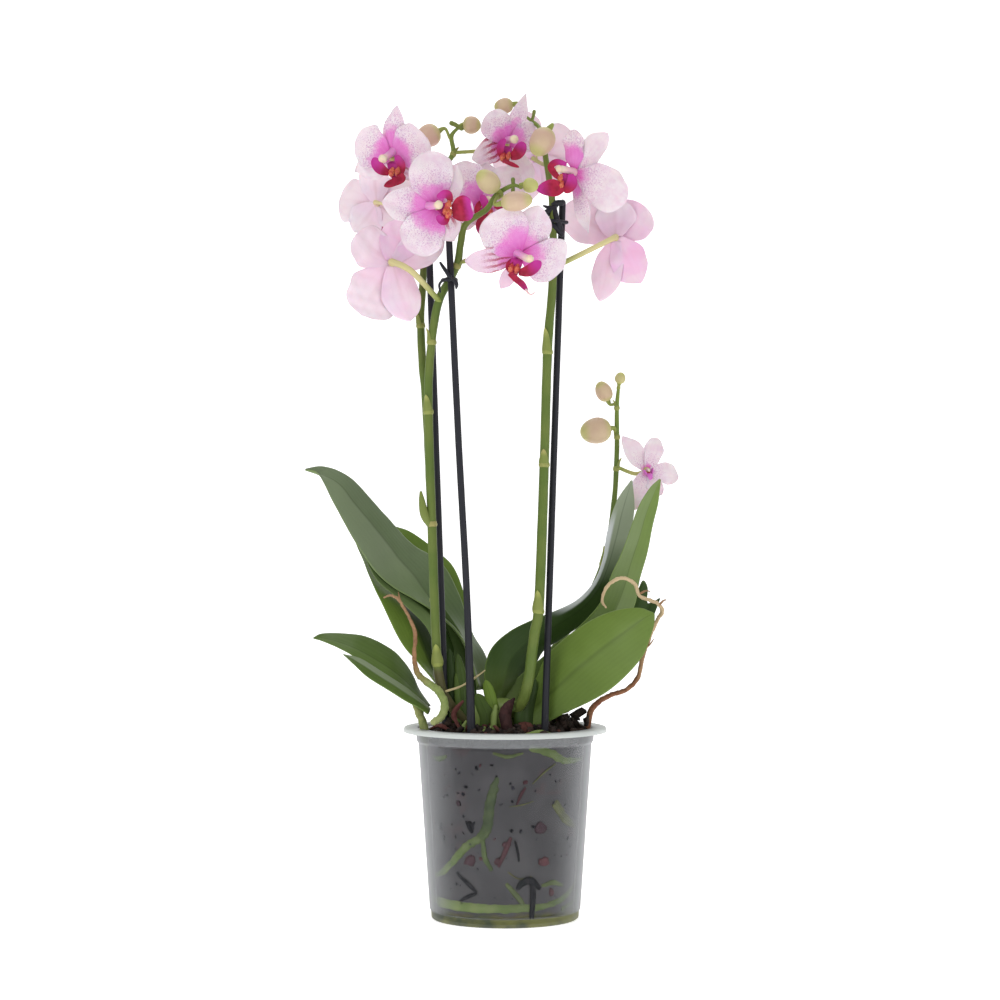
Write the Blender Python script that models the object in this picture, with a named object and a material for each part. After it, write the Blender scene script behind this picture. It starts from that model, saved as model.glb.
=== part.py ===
"""Potted orchid: a clear tapered pot filled with bark, a short crown with its leaves and roots,
three tall flower spikes tied to stakes, a young fourth spike, open flowers and buds.

All sizes are in millimetres and are scaled to metres when an object is made. The origin is the
centre of the pot's underside, +Z is up and -Y is the side the plant shows."""

import math

import bpy
import numpy as np

MM = 0.001

POT_RIM_RADIUS = 60.2
POT_HEIGHT = 113.5
POT_FOOT_RADIUS = 44.0
POT_SHOULDER_RADIUS = 51.4
POT_WALL = 1.0
POT_FLOOR = 1.8
SOIL_TOP = POT_HEIGHT - 5.5
FIT_GAP = 0.35
STAKE_RADIUS = 2.0
PETAL_THICKNESS = 0.9
LEAF_THICKNESS = 2.0
STEM_SIDES = 8

CROWN_CENTRE = np.array((-10.0, 0.0, 118.0))
CROWN_HALF = np.array((28.0, 19.0, 16.0))

for leftover in list(bpy.data.objects):
    bpy.data.objects.remove(leftover, do_unlink=True)


# ---------------------------------------------------------------- materials

def material(name, colour, roughness=0.5, metallic=0.0, alpha=1.0):
    made = bpy.data.materials.new(name)
    made.use_nodes = True
    shader = made.node_tree.nodes["Principled BSDF"]
    shader.inputs["Base Color"].default_value = (*colour, 1.0)
    shader.inputs["Roughness"].default_value = roughness
    shader.inputs["Metallic"].default_value = metallic
    shader.inputs["Alpha"].default_value = alpha
    made.diffuse_color = (*colour, alpha)
    return made


CLEAR_PLASTIC = material("clear_plastic", (0.72, 0.75, 0.75), 0.25, alpha=0.35)
BARK = material("bark", (0.07, 0.05, 0.045), 0.9)
LEAF_DARK = material("leaf_dark", (0.08, 0.16, 0.05), 0.4)
LEAF_BRIGHT = material("leaf_bright", (0.16, 0.28, 0.07), 0.4)
STEM_GREEN = material("stem_green", (0.17, 0.27, 0.08), 0.45)
ROOT_GREEN = material("root_green", (0.30, 0.38, 0.14), 0.6)
ROOT_BROWN = material("root_brown", (0.38, 0.20, 0.10), 0.7)
PETAL_PINK = material("petal_pink", (0.85, 0.60, 0.80), 0.5)
PETAL_PALE = material("petal_pale", (0.90, 0.76, 0.82), 0.5)
BUD_TAN = material("bud_tan", (0.66, 0.56, 0.40), 0.5)
STAKE_BLACK = material("stake_black", (0.03, 0.03, 0.04), 0.45)
HUSK_BROWN = material("husk_brown", (0.11, 0.05, 0.05), 0.8)


# ---------------------------------------------------------------- curves and skins

def smooth(points, count):
    """Evenly numbered points of the rounded (Catmull-Rom) curve through the given ones."""
    points = np.asarray(points, float)
    if points.ndim == 1:
        points = points[:, None]
    before = 2 * points[0] - points[1]
    after = 2 * points[-1] - points[-2]
    padded = np.vstack([before, points, after])
    where = np.linspace(0, len(points) - 1, count)
    piece = np.minimum(where.astype(int), len(points) - 2)
    t = (where - piece)[:, None]
    a, b, c, d = (padded[piece + k] for k in range(4))
    cubic = (2 * b + (c - a) * t + (2 * a - 5 * b + 4 * c - d) * t**2
             + (3 * b - 3 * c + d - a) * t**3)
    return 0.5 * cubic


def unit(vectors):
    vectors = np.asarray(vectors, float)
    return vectors / np.linalg.norm(vectors, axis=-1, keepdims=True)


def frames(path, first_side=(0.31, 0.95, 0.0)):
    """The direction along a path and two square-on vectors, carried along without twist."""
    along = unit(np.gradient(path, axis=0))
    side = np.zeros_like(path)
    carried = np.asarray(first_side, float)
    for index, direction in enumerate(along):
        carried = unit(carried - direction * (carried @ direction))
        side[index] = carried
    return along, side, np.cross(along, side)


def quads(lower, upper):
    """Faces between two rings of the same count, facing away from the way they go round."""
    count = len(lower)
    return [
        (lower[j], lower[(j + 1) % count], upper[(j + 1) % count], upper[j])
        for j in range(count)
    ]


def skin(rings, caps="fan"):
    """A closed surface through rings of points, as (points, faces)."""
    rings = np.asarray(rings, float)
    rows, count = rings.shape[:2]
    points = rings.reshape(-1, 3)
    index = np.arange(rows * count).reshape(rows, count)
    faces = []
    for low, high in zip(index[:-1], index[1:]):
        faces += quads(low, high)
    if caps == "strip":
        for j in range(count // 2 - 1):
            k = count - 1 - j
            faces.append((index[0, k], index[0, k - 1], index[0, j + 1], index[0, j]))
            faces.append((index[-1, j], index[-1, j + 1], index[-1, k - 1], index[-1, k]))
    else:
        faces.append(tuple(index[0][::-1]))
        faces.append(tuple(index[-1]))
    return points, faces


def tube(path, radii, sides, stations, squash=1.0, grow=0.0):
    """A rod of changing radius along a rounded path."""
    line = smooth(path, stations)
    radius = smooth(radii, stations)[:, 0] + grow
    along, side, up = frames(line)
    turn = np.arange(sides) * 2 * math.pi / sides
    rings = (line[:, None]
             + radius[:, None, None] * (np.cos(turn)[None, :, None] * side[:, None]
                                        + squash * np.sin(turn)[None, :, None] * up[:, None]))
    return skin(rings)


def turned(profile, segments):
    """A closed body turned round Z from (radius, height) pairs that start and end on the axis."""
    points = []
    rows = []
    for radius, height in profile:
        if radius == 0:
            rows.append([len(points)] * segments)
            points.append((0.0, 0.0, height))
            continue
        rows.append(list(range(len(points), len(points) + segments)))
        for k in range(segments):
            turn = 2 * math.pi * k / segments
            points.append((radius * math.cos(turn), radius * math.sin(turn), height))
    faces = []
    for low, high in zip(rows[:-1], rows[1:]):
        for face in quads(low, high):
            corners = list(dict.fromkeys(face))
            faces.append(tuple(corners))
    return np.array(points), faces


def blade(path, far_edge, half_width, thickness=LEAF_THICKNESS, base_share=0.3, fold=0.22,
          stations=13, across=6, upward=(0.0, -0.5, 1.0), grow=0.0, tip_width=0.1, round_tip=False):
    """A leaf as a thin closed body: its middle line, the way its far edge lies (at the base and at
    the tip), and half its greatest width. The blade is creased along the middle."""
    line = smooth(path, stations)
    t = np.linspace(0.0, 1.0, stations)
    along = unit(np.gradient(line, axis=0))
    ends = np.asarray(far_edge, float)
    lean = ends[0] * (1 - t[:, None]) + ends[1] * t[:, None]
    lean = unit(lean - along * (lean * along).sum(axis=1)[:, None])
    face = np.cross(lean, along)
    if (face @ np.asarray(upward, float)).sum() < 0:
        lean = -lean
        face = -face
    swell = base_share + (1 - base_share) * np.sin(np.minimum(t / 0.4, 1.0) * math.pi / 2)
    start, power = (0.5, 0.5) if round_tip else (0.3, 0.85)
    closing = np.clip(1 - (np.clip(t - start, 0, 1) / (1 - start)) ** 2.2, 0, 1) ** power
    width = half_width * swell * np.maximum(closing, tip_width) + grow
    a = np.linspace(-1.0, 1.0, across + 1)
    middle = (line[:, None] + lean[:, None] * (a[None, :] * width[:, None])[..., None]
              + face[:, None] * (fold * width[:, None] * np.abs(a)[None, :] ** 1.5)[..., None])
    half_thick = (0.5 * thickness * (1 - 0.7 * a**2)) + grow
    taper = (1.0 - 0.5 * t)[:, None, None]
    lift = face[:, None] * half_thick[None, :, None] * taper
    rings = np.concatenate([middle + lift, (middle - lift)[:, ::-1]], axis=1)
    return skin(rings, caps="strip")


def moved(body, offset):
    points, faces = body
    return points + np.asarray(offset, float), faces


def mesh_object(name, body, finish=None, origin=None):
    """One object whose own origin is at `origin` (millimetres), or at its mean point."""
    points, faces = body
    origin = points.mean(axis=0) if origin is None else np.asarray(origin, float)
    mesh = bpy.data.meshes.new(name)
    mesh.from_pydata(((points - origin) * MM).tolist(), [], [tuple(map(int, f)) for f in faces])
    mesh.validate()
    made = bpy.data.objects.new(name, mesh)
    made.location = origin * MM
    bpy.context.scene.collection.objects.link(made)
    if finish:
        mesh.materials.append(finish)
    return made


def carve(target, cutters):
    """Takes each cutter's shape out of the target and leaves the target as a plain mesh."""
    tools = []
    for number, body in enumerate(cutters):
        tool = mesh_object(f"cutter_{number}", body)
        step = target.modifiers.new(f"cut_{number}", "BOOLEAN")
        step.operation = "DIFFERENCE"
        step.solver = "EXACT"
        step.object = tool
        tools.append(tool)
    bpy.context.view_layer.update()
    graph = bpy.context.evaluated_depsgraph_get()
    cut = bpy.data.meshes.new_from_object(target.evaluated_get(graph))
    target.modifiers.clear()
    target.data = cut
    for tool in tools:
        bpy.data.objects.remove(tool, do_unlink=True)


# ---------------------------------------------------------------- the pot

RIM_LIP = 3.5
STEP_HEIGHT = 5.8
SHOULDER_HEIGHT = POT_HEIGHT - 9.5
FOOT_INSIDE = POT_FOOT_RADIUS + 0.7 - POT_WALL
SHOULDER_INSIDE = POT_SHOULDER_RADIUS - POT_WALL

POT_OUTSIDE = [
    (0, 0),
    (POT_FOOT_RADIUS - 1.4, 0),
    (POT_FOOT_RADIUS - 0.3, 0.9),
    (POT_FOOT_RADIUS, STEP_HEIGHT - 0.8),
    (POT_FOOT_RADIUS + 0.7, STEP_HEIGHT),
    (POT_SHOULDER_RADIUS, SHOULDER_HEIGHT),
    (POT_SHOULDER_RADIUS + 1.0, SHOULDER_HEIGHT + 1.4),
    (POT_SHOULDER_RADIUS + 1.5, POT_HEIGHT - 2.1),
    (POT_RIM_RADIUS - 1.0, POT_HEIGHT - 2.1),
    (POT_RIM_RADIUS - 0.8, POT_HEIGHT - RIM_LIP),
    (POT_RIM_RADIUS, POT_HEIGHT - RIM_LIP),
    (POT_RIM_RADIUS, POT_HEIGHT - 0.8),
    (POT_RIM_RADIUS - 0.6, POT_HEIGHT),
]
POT_INSIDE = [
    (SHOULDER_INSIDE + 1.6, POT_HEIGHT),
    (SHOULDER_INSIDE + 1.4, POT_HEIGHT - 0.9),
    (SHOULDER_INSIDE + 0.9, SHOULDER_HEIGHT + 1.9),
    (SHOULDER_INSIDE, SHOULDER_HEIGHT + 0.6),
    (FOOT_INSIDE, STEP_HEIGHT + 0.4),
    (FOOT_INSIDE - 0.7, POT_FLOOR + 0.8),
    (FOOT_INSIDE - 1.7, POT_FLOOR),
    (0, POT_FLOOR),
]
POT_SEGMENTS = 48
DRAIN_COUNT = 6
DRAIN_CIRCLE = 30.0
DRAIN_RADIUS = 3.5

pot = mesh_object("pot", turned(POT_OUTSIDE + POT_INSIDE, POT_SEGMENTS), CLEAR_PLASTIC, (0, 0, 0))
drains = []
for k in range(DRAIN_COUNT):
    turn = 2 * math.pi * (k + 0.25) / DRAIN_COUNT
    spot = (DRAIN_CIRCLE * math.cos(turn), DRAIN_CIRCLE * math.sin(turn), 0)
    plug = turned([(0, -2), (DRAIN_RADIUS, -2), (DRAIN_RADIUS, 4), (0, 4)], 10)
    drains.append(moved(plug, spot))
carve(pot, drains)


def wall_radius(height):
    """Radius of the inside of the pot's tapered wall at a height."""
    low, high = STEP_HEIGHT + 0.4, SHOULDER_HEIGHT + 0.6
    return FOOT_INSIDE + (SHOULDER_INSIDE - FOOT_INSIDE) * (height - low) / (high - low)


# ---------------------------------------------------------------- stakes

STAKES = {
    "stake_left_back": [(-35, -13, 22), (-35.5, -13, 120), (-41.5, -10.5, 300), (-45, -10, 402)],
    "stake_left_front": [(-15.5, -33.5, 22), (-18.5, -33, 118), (-25.5, -31, 290), (-33, -27.5, 405)],
    "stake_right": [(20, -29, 22), (23.5, -23, 122), (29, -13.5, 282), (34, -5, 424)],
}
STAKE_SIDES = 10

for name, path in STAKES.items():
    mesh_object(name, tube(path, [STAKE_RADIUS] * 2, STAKE_SIDES, 7), STAKE_BLACK)


# ---------------------------------------------------------------- flower spikes

SPIKES = {
    "spike_front_left": (
        [(-25, -13, 119), (-33, -19, 129), (-38, -21, 141), (-40.5, -22, 166), (-43, -22, 236),
         (-45, -22, 307), (-43, -22, 341), (-39, -23, 364), (-33, -23, 376), (-28, -25, 386),
         (-26, -26, 398), (-23, -28, 409), (-11, -34, 417), (-5, -39, 425), (4, -42, 430),
         (9, -43, 429)],
        [2.9, 2.8, 2.8, 2.8, 2.7, 2.6, 2.5, 2.5, 2.4, 2.2, 2.1, 1.9, 1.7, 1.5, 1.2, 0.9]),
    "spike_back_left": (
        [(-30, -4, 124), (-36, -5, 134), (-40, -5.5, 147), (-42, -6, 189), (-44, -6, 248),
         (-47, -5, 307), (-49, -4, 330), (-50, -4, 355), (-49, -4, 372), (-47, -3, 396),
         (-41, 4, 427), (-35, 11, 448), (-31, 14, 456), (-32, 14, 466), (-27, 14, 472)],
        [2.6, 2.5, 2.5, 2.5, 2.5, 2.4, 2.4, 2.3, 2.2, 2.0, 1.8, 1.6, 1.5, 1.3, 0.9]),
    "spike_right": (
        [(6, -12, 122), (11, -20, 132), (14, -25, 145), (17, -26.5, 169), (20, -25.5, 190),
         (23, -20.5, 271), (25, -16.5, 336), (28, -14, 378), (28, -11.5, 419), (26, -9, 438),
         (24, -6, 451), (23, 1, 464), (20, 9, 471), (15, 15, 476), (11, 17, 479)],
        [3.2, 3.2, 3.2, 3.1, 3.0, 2.8, 2.7, 2.4, 2.1, 1.9, 1.7, 1.4, 1.2, 1.0, 0.8]),
    "spike_young": (
        [(2, 12, 117), (20, 27, 146), (45, 42, 178), (60, 43, 210), (66, 40, 243), (68, 38, 277),
         (68, 38, 303), (69, 38, 316)],
        [2.0, 2.0, 1.9, 1.8, 1.7, 1.5, 1.3, 0.9]),
}

for name, (path, radii) in SPIKES.items():
    mesh_object(name, tube(path, radii, STEM_SIDES, int(len(path) * 1.6)), STEM_GREEN)


# ---------------------------------------------------------------- leaves

LEAVES = {
    "leaf_left_long": dict(
        path=[(-12, 4, 124), (-23, 14, 150), (-45, 22, 182), (-62, 24, 204), (-85, 21, 233),
              (-106, 14, 258), (-121, 7, 265)],
        far_edge=[(0.55, 0.75, 0.35), (0.4, 0.85, 0.32)], half_width=25, base_share=0.25),
    "leaf_left_low": dict(
        path=[(-20, 10, 120), (-38, 19, 139), (-57, 22, 165), (-76, 26, 196), (-100, 31, 234)],
        far_edge=[(0.6, 0.75, 0.3), (0.6, 0.75, 0.3)], half_width=17),
    "leaf_left_strip": dict(
        path=[(-24, 5, 124), (-34, 9, 143), (-46, 13, 164), (-61, 14, 189)],
        far_edge=[(0.5, 0.8, 0.3), (0.5, 0.8, 0.3)], half_width=4, thickness=1.6),
    "leaf_left_back": dict(
        path=[(-9, 13, 122), (-11, 27, 140), (-17, 39, 157), (-35, 50, 186), (-57, 58, 212),
              (-85, 63, 232)],
        far_edge=[(0.45, 0.8, 0.4), (0.45, 0.8, 0.4)], half_width=20),
    "leaf_left_inner": dict(
        path=[(-19, -4, 126), (-24, -7, 142), (-29, -6, 158), (-32, -4, 178)],
        far_edge=[(0.85, 0.3, 0.25), (0.85, 0.3, 0.25)], half_width=8),
    "leaf_short_upper": dict(
        path=[(-29, -1, 116), (-41, -6, 123), (-55, -18, 142), (-72, -28, 156), (-92, -30, 166),
              (-115, -30, 169)],
        far_edge=[(0.35, 0.75, 0.5), (0.35, 0.75, 0.5)], half_width=12),
    "leaf_short_lower": dict(
        path=[(-26, -13, 111), (-38, -22, 118), (-54, -34, 130), (-73, -41, 142), (-94, -44, 157)],
        far_edge=[(0.3, 0.8, 0.5), (0.3, 0.8, 0.5)], half_width=9),
    "leaf_right_curved": dict(
        path=[(-2, 3, 127), (-5, 7, 143), (7, 11, 159), (29, 15, 170), (47, 19, 184),
              (60, 21, 207), (69, 22, 235), (76, 20, 262)],
        far_edge=[(-0.6, 0.4, 0.6), (-0.35, 0.93, 0.1)], half_width=17, base_share=0.35),
    "leaf_right_upright": dict(
        path=[(9, 6, 121), (25, 8, 141), (48, 9, 160), (66, 11, 184), (71, 11, 200),
              (78, 11, 221), (87, 9, 246), (93, 6, 262)],
        far_edge=[(0.1, 0.85, 0.5), (-0.55, 0.8, 0.24)], half_width=17, round_tip=True),
    "leaf_right_broad": dict(
        path=[(9, -6, 118), (19, -9, 126), (36, -14, 140), (57, -19, 159), (76, -23, 177),
              (88, -26, 187)],
        far_edge=[(-0.48, 0.5, 0.72), (-0.48, 0.5, 0.72)], half_width=23, round_tip=True),
    "leaf_right_low": dict(
        path=[(12, 4, 112), (31, 12, 128), (58, 24, 148), (81, 32, 176), (95, 34, 189)],
        far_edge=[(-0.3, 0.75, 0.55), (-0.3, 0.75, 0.55)], half_width=11),
}
BRIGHT_LEAVES = ("leaf_left_low", "leaf_left_back", "leaf_right_broad", "leaf_right_upright")

for name, shape in LEAVES.items():
    mesh_object(name, blade(**shape), LEAF_BRIGHT if name in BRIGHT_LEAVES else LEAF_DARK)


# ---------------------------------------------------------------- crown

def crown_body(grow):
    """The crown: a flattened lump with ridges where old leaf bases wrapped it."""
    rows, sides = 11, 20
    points = []
    for i in range(rows + 1):
        fall = math.pi * i / rows
        for k in range(sides):
            turn = 2 * math.pi * k / sides
            ripple = 1.0 + 0.03 * math.cos(5 * turn) * math.sin(fall)
            direction = np.array((-math.cos(fall),
                                  math.sin(fall) * math.cos(turn),
                                  math.sin(fall) * math.sin(turn)))
            points.append(CROWN_CENTRE + direction * (CROWN_HALF * ripple + grow))
    points = np.array(points).reshape(rows + 1, sides, 3)
    ends = [points[0, 0], points[-1, 0]]
    inner = points[1:-1]
    flat = inner.reshape(-1, 3)
    index = np.arange(len(flat)).reshape(rows - 1, sides)
    faces = []
    for low, high in zip(index[:-1], index[1:]):
        faces += quads(low, high)
    first, last = len(flat), len(flat) + 1
    for k in range(sides):
        faces.append((first, index[0, (k + 1) % sides], index[0, k]))
        faces.append((last, index[-1, k], index[-1, (k + 1) % sides]))
    return np.vstack([flat, ends]), faces


crown = mesh_object("plant_crown", crown_body(0.0), STEM_GREEN, CROWN_CENTRE)
sockets = [blade(**shape, grow=FIT_GAP) for shape in LEAVES.values()]
for path, radii in SPIKES.values():
    sockets.append(tube(path, radii, STEM_SIDES, int(len(path) * 1.6), grow=FIT_GAP * 1.1))
carve(crown, sockets)


# ---------------------------------------------------------------- aerial roots

AERIAL_ROOTS = {
    "root_forked": (
        [(-42, -37, 117.5), (-38, -32, 126), (-36.5, -26, 136), (-41, -27.5, 141), (-48, -29, 146),
         (-51, -29, 152), (-52, -28, 160), (-51, -27, 171), (-57, -25, 183), (-62, -24, 189),
         (-71, -23, 191)],
        [2.4, 2.6, 2.3, 2.1, 2.0, 1.6, 1.3, 1.2, 1.1, 1.0, 0.6], ROOT_GREEN),
    "root_stub": (
        [(-44, 1, 100), (-46, 1, 108), (-49, 0, 118), (-54, 0, 129)],
        [1.7, 1.8, 1.9, 1.2], ROOT_GREEN),
    "root_thread": (
        [(-34.4, -26, 136.2), (-26, -25.5, 139), (-19, -24.5, 143), (-12, -21, 148)],
        [0.7, 0.6, 0.6, 0.5], ROOT_GREEN),
    "root_curled": (
        [(46, 6, 98), (49, 4, 113), (52, 4, 124), (61, 4, 131), (72, 4, 135), (79, 6, 142),
         (82, 8, 154), (86, 6, 166), (90, 0, 176), (93, -6, 182), (90, -9, 187), (85, -10, 189),
         (79, -12, 192), (76, -12, 199), (68, -13, 202), (60, -15, 197), (57, -18, 189),
         (59, -21, 185)],
        [1.7, 1.6, 1.6, 1.5, 1.4, 1.4, 1.3, 1.3, 1.2, 1.2, 1.1, 1.1, 1.1, 1.0, 1.0, 0.9, 0.8, 0.6],
        ROOT_BROWN),
}

for name, (path, radii, finish) in AERIAL_ROOTS.items():
    mesh_object(name, tube(path, radii, 6, int(len(path) * 1.7)), finish)


# ---------------------------------------------------------------- roots against the pot wall

def wall_path(places, radius):
    """Points just inside the wall from (angle in degrees from the front, height) pairs."""
    path = []
    for angle, height in places:
        reach = wall_radius(height) - FIT_GAP - radius
        turn = math.radians(angle)
        path.append((reach * math.sin(turn), -reach * math.cos(turn), height))
    return path


WALL_ROOTS = {
    "pot_root_long": (
        [(-13, 86), (-18, 76), (-22, 66), (-31, 55), (-45, 45), (-58, 36), (-76, 30)], 2.1),
    "pot_root_branch": ([(-15, 60), (-13, 52), (-18, 45)], 1.4),
    "pot_root_rim": ([(25, 101), (40, 97), (54, 93), (76, 92)], 1.6),
    "pot_root_tan": ([(33, 70), (45, 62), (63, 56)], 1.9),
    "pot_root_ring": (
        [(-80, 14), (-55, 12.5), (-25, 11.5), (5, 11.5), (35, 12.5), (60, 15), (80, 20)], 2.6),
    "pot_root_short": ([(24, 23), (37, 24.5), (52, 23)], 1.7),
}
wall_roots = {}
for name, (places, radius) in WALL_ROOTS.items():
    path = wall_path(places, radius)
    ends = [0.75 * radius] + [radius] * (len(path) - 2) + [0.6 * radius]
    wall_roots[name] = (path, ends)
    mesh_object(name, tube(path, ends, 6, len(path) * 3), ROOT_GREEN)


# ---------------------------------------------------------------- bark filling

def filling():
    """Bark that fills the pot to just under its rim, with a lumpy top."""
    segments, rings = 40, 6
    bottom = POT_FLOOR + 0.5
    profile = [(FOOT_INSIDE - 2.7, bottom), (FOOT_INSIDE - 1.3, bottom + 0.7),
               (FOOT_INSIDE - 0.5, STEP_HEIGHT + 0.6)]
    for height in (30.0, 55.0, 80.0, 104.0):
        profile.append((wall_radius(height) - FIT_GAP - 0.1, height))
    rows = []
    for radius, height in profile:
        rows.append([(radius, height)] * segments)
    for ring in range(rings):
        share = 1.0 - ring / rings
        row = []
        for k in range(segments):
            lump = 0.9 * math.sin(7.0 * k + 3.1 * ring) + 0.6 * math.cos(3.0 * k - 5.0 * ring)
            swell = 1.5 * (1 - share)
            row.append((50.0 * share, SOIL_TOP - 1.0 + swell + (lump if ring else 0)))
        rows.append(row)
    points = [(0, 0, bottom)]
    for row in rows:
        for k, (radius, height) in enumerate(row):
            turn = 2 * math.pi * k / segments
            points.append((radius * math.cos(turn), radius * math.sin(turn), height))
    points.append((0, 0, SOIL_TOP + 1.0))
    index = 1 + np.arange(len(rows) * segments).reshape(len(rows), segments)
    faces = []
    for low, high in zip(index[:-1], index[1:]):
        faces += quads(low, high)
    for k in range(segments):
        after = (k + 1) % segments
        faces.append((0, index[0, after], index[0, k]))
        faces.append((len(points) - 1, index[-1, k], index[-1, after]))
    return np.array(points, float), faces


bark = mesh_object("bark_substrate", filling(), BARK, (0, 0, 0))
hollows = [crown_body(FIT_GAP)]
for path in STAKES.values():
    hollows.append(tube(path, [STAKE_RADIUS] * 2, STAKE_SIDES, 7, grow=FIT_GAP))
for name in ("root_stub", "root_curled"):
    path, radii, finish = AERIAL_ROOTS[name]
    hollows.append(tube(path, radii, 6, int(len(path) * 1.7), grow=FIT_GAP * 1.2))
for path, radii in wall_roots.values():
    hollows.append(tube(path, radii, 6, len(path) * 3, grow=FIT_GAP * 1.2))
hollows.append(blade(**LEAVES["leaf_short_lower"], grow=FIT_GAP))
carve(bark, hollows)


# ---------------------------------------------------------------- flowers

SECTOR_STEPS = 6
STALK_SIDES = 6


def outline(tepals):
    """Angles and reaches round a flower: tip to tip, the largest of its rounded petals at each."""
    tips = sorted(tepals)
    angles = []
    for (this, *_), (following, *_) in zip(tips, tips[1:] + tips[:1]):
        gap = (following - this) % 360
        angles += [this + gap * step / SECTOR_STEPS for step in range(SECTOR_STEPS)]
    reaches = []
    for angle in angles:
        reach = 6.0
        for middle, length, half in tepals:
            apart = math.radians((angle - middle + 180) % 360 - 180)
            if abs(apart) < math.pi / 2:
                a = length / 2
                r = 2 * a * half**2 * math.cos(apart)
                r /= half**2 * math.cos(apart) ** 2 + a**2 * math.sin(apart) ** 2
                reach = max(reach, r)
        reaches.append(reach)
    return np.radians(angles), np.array(reaches)


def stitch(small, large, small_first):
    """Faces between a ring of six and a ring of thirty."""
    ratio = len(large) // len(small)
    faces = []
    for k, corner in enumerate(small):
        after = small[(k + 1) % len(small)]
        near = [large[(ratio * k + m) % len(large)] for m in range(-2, 4)]
        for m in range(4):
            tri = (corner, near[m + 1], near[m])
            faces.append(tri if small_first else (near[m], near[m + 1], corner))
        bridge = (corner, after, near[5], near[4])
        faces.append(bridge if small_first else (near[4], near[5], after, corner))
    return faces


def attached(spike, near, towards):
    """The last two points of a stalk: it stops just short of a spike, square to it."""
    path, radii = SPIKES[spike]
    line = smooth(path, 200)
    radius = smooth(radii, 200)[:, 0]
    at = np.argmin(np.linalg.norm(line - np.asarray(near, float), axis=1))
    along = unit(np.gradient(line, axis=0))[at]
    out = np.asarray(towards, float) - line[at]
    out = unit(out - along * (out @ along))
    start = radius[at] + FIT_GAP + 0.25
    return [line[at] + out * (start + 3.5), line[at] + out * start]


def flower_body(centre, face, tepals, spike, near, bend, top=90, knob=1.0, cup=2.0):
    """A flower with its stalk as one closed body: a thin sheet that faces `face`, with five tepals
    of (angle, length, half width), a knob in front for column and lip that hangs away from the
    angle `top`, and a stalk from behind by way of `bend` to the spike."""
    centre = np.asarray(centre, float)
    z = unit(face)
    x = unit(np.cross((0.0, 0.0, 1.0), z))
    y = np.cross(z, x)
    angles, reach = outline(tepals)

    def sheet(share, height):
        r = (reach * share)[:, None]
        rise = height + cup * (r / 29) ** 2
        return centre + x * r * np.cos(angles)[:, None] + y * r * np.sin(angles)[:, None] + z * rise

    half = PETAL_THICKNESS / 2
    bend = np.asarray(bend, float)
    line = smooth([centre - z * half, centre - z * (half + 2.5), bend, *attached(spike, near, bend)], 8)
    first_side = x * math.cos(angles[0]) + y * math.sin(angles[0])
    along, side, _ = frames(line, first_side)
    up2 = np.cross(side, along)
    turn = 2 * math.pi * np.arange(STALK_SIDES) / STALK_SIDES
    thick = np.concatenate([[2.6], np.linspace(1.35, 1.05, len(line) - 1)])
    stalk_rings = (line[:, None] + thick[:, None, None]
                   * (np.cos(turn)[None, :, None] * side[:, None]
                      + np.sin(turn)[None, :, None] * up2[:, None]))[::-1]
    down = -(x * math.cos(math.radians(top)) + y * math.sin(math.radians(top)))
    knob_line = smooth([centre + z * half, centre + (z * 6 + down * 1.5) * knob,
                        centre + (z * 9 + down * 6) * knob, centre + (z * 9 + down * 12) * knob], 5)
    _, knob_side, knob_up = frames(knob_line, first_side)
    knob_radius = np.array([4.2, 3.6, 4.2, 4.4, 1.6]) * knob
    knob_rings = (knob_line[:, None] + knob_radius[:, None, None]
                  * (np.cos(turn)[None, :, None] * knob_side[:, None]
                     + np.sin(turn)[None, :, None] * knob_up[:, None]))
    rings = (list(stalk_rings) + [sheet(0.55, -half), sheet(1.0, -half), sheet(1.0, half),
                                  sheet(0.55, half)] + list(knob_rings))
    points = np.vstack(rings)
    starts = np.cumsum([0] + [len(r) for r in rings])
    rows = [list(range(a, b)) for a, b in zip(starts[:-1], starts[1:])]
    faces = [tuple(rows[0][::-1])]
    for low, high in zip(rows[:-1], rows[1:]):
        if len(low) == len(high):
            faces += quads(low, high)
        else:
            small_first = len(low) < len(high)
            faces += stitch(low if small_first else high, high if small_first else low, small_first)
    faces.append(tuple(rows[-1]))
    return points, faces


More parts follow.
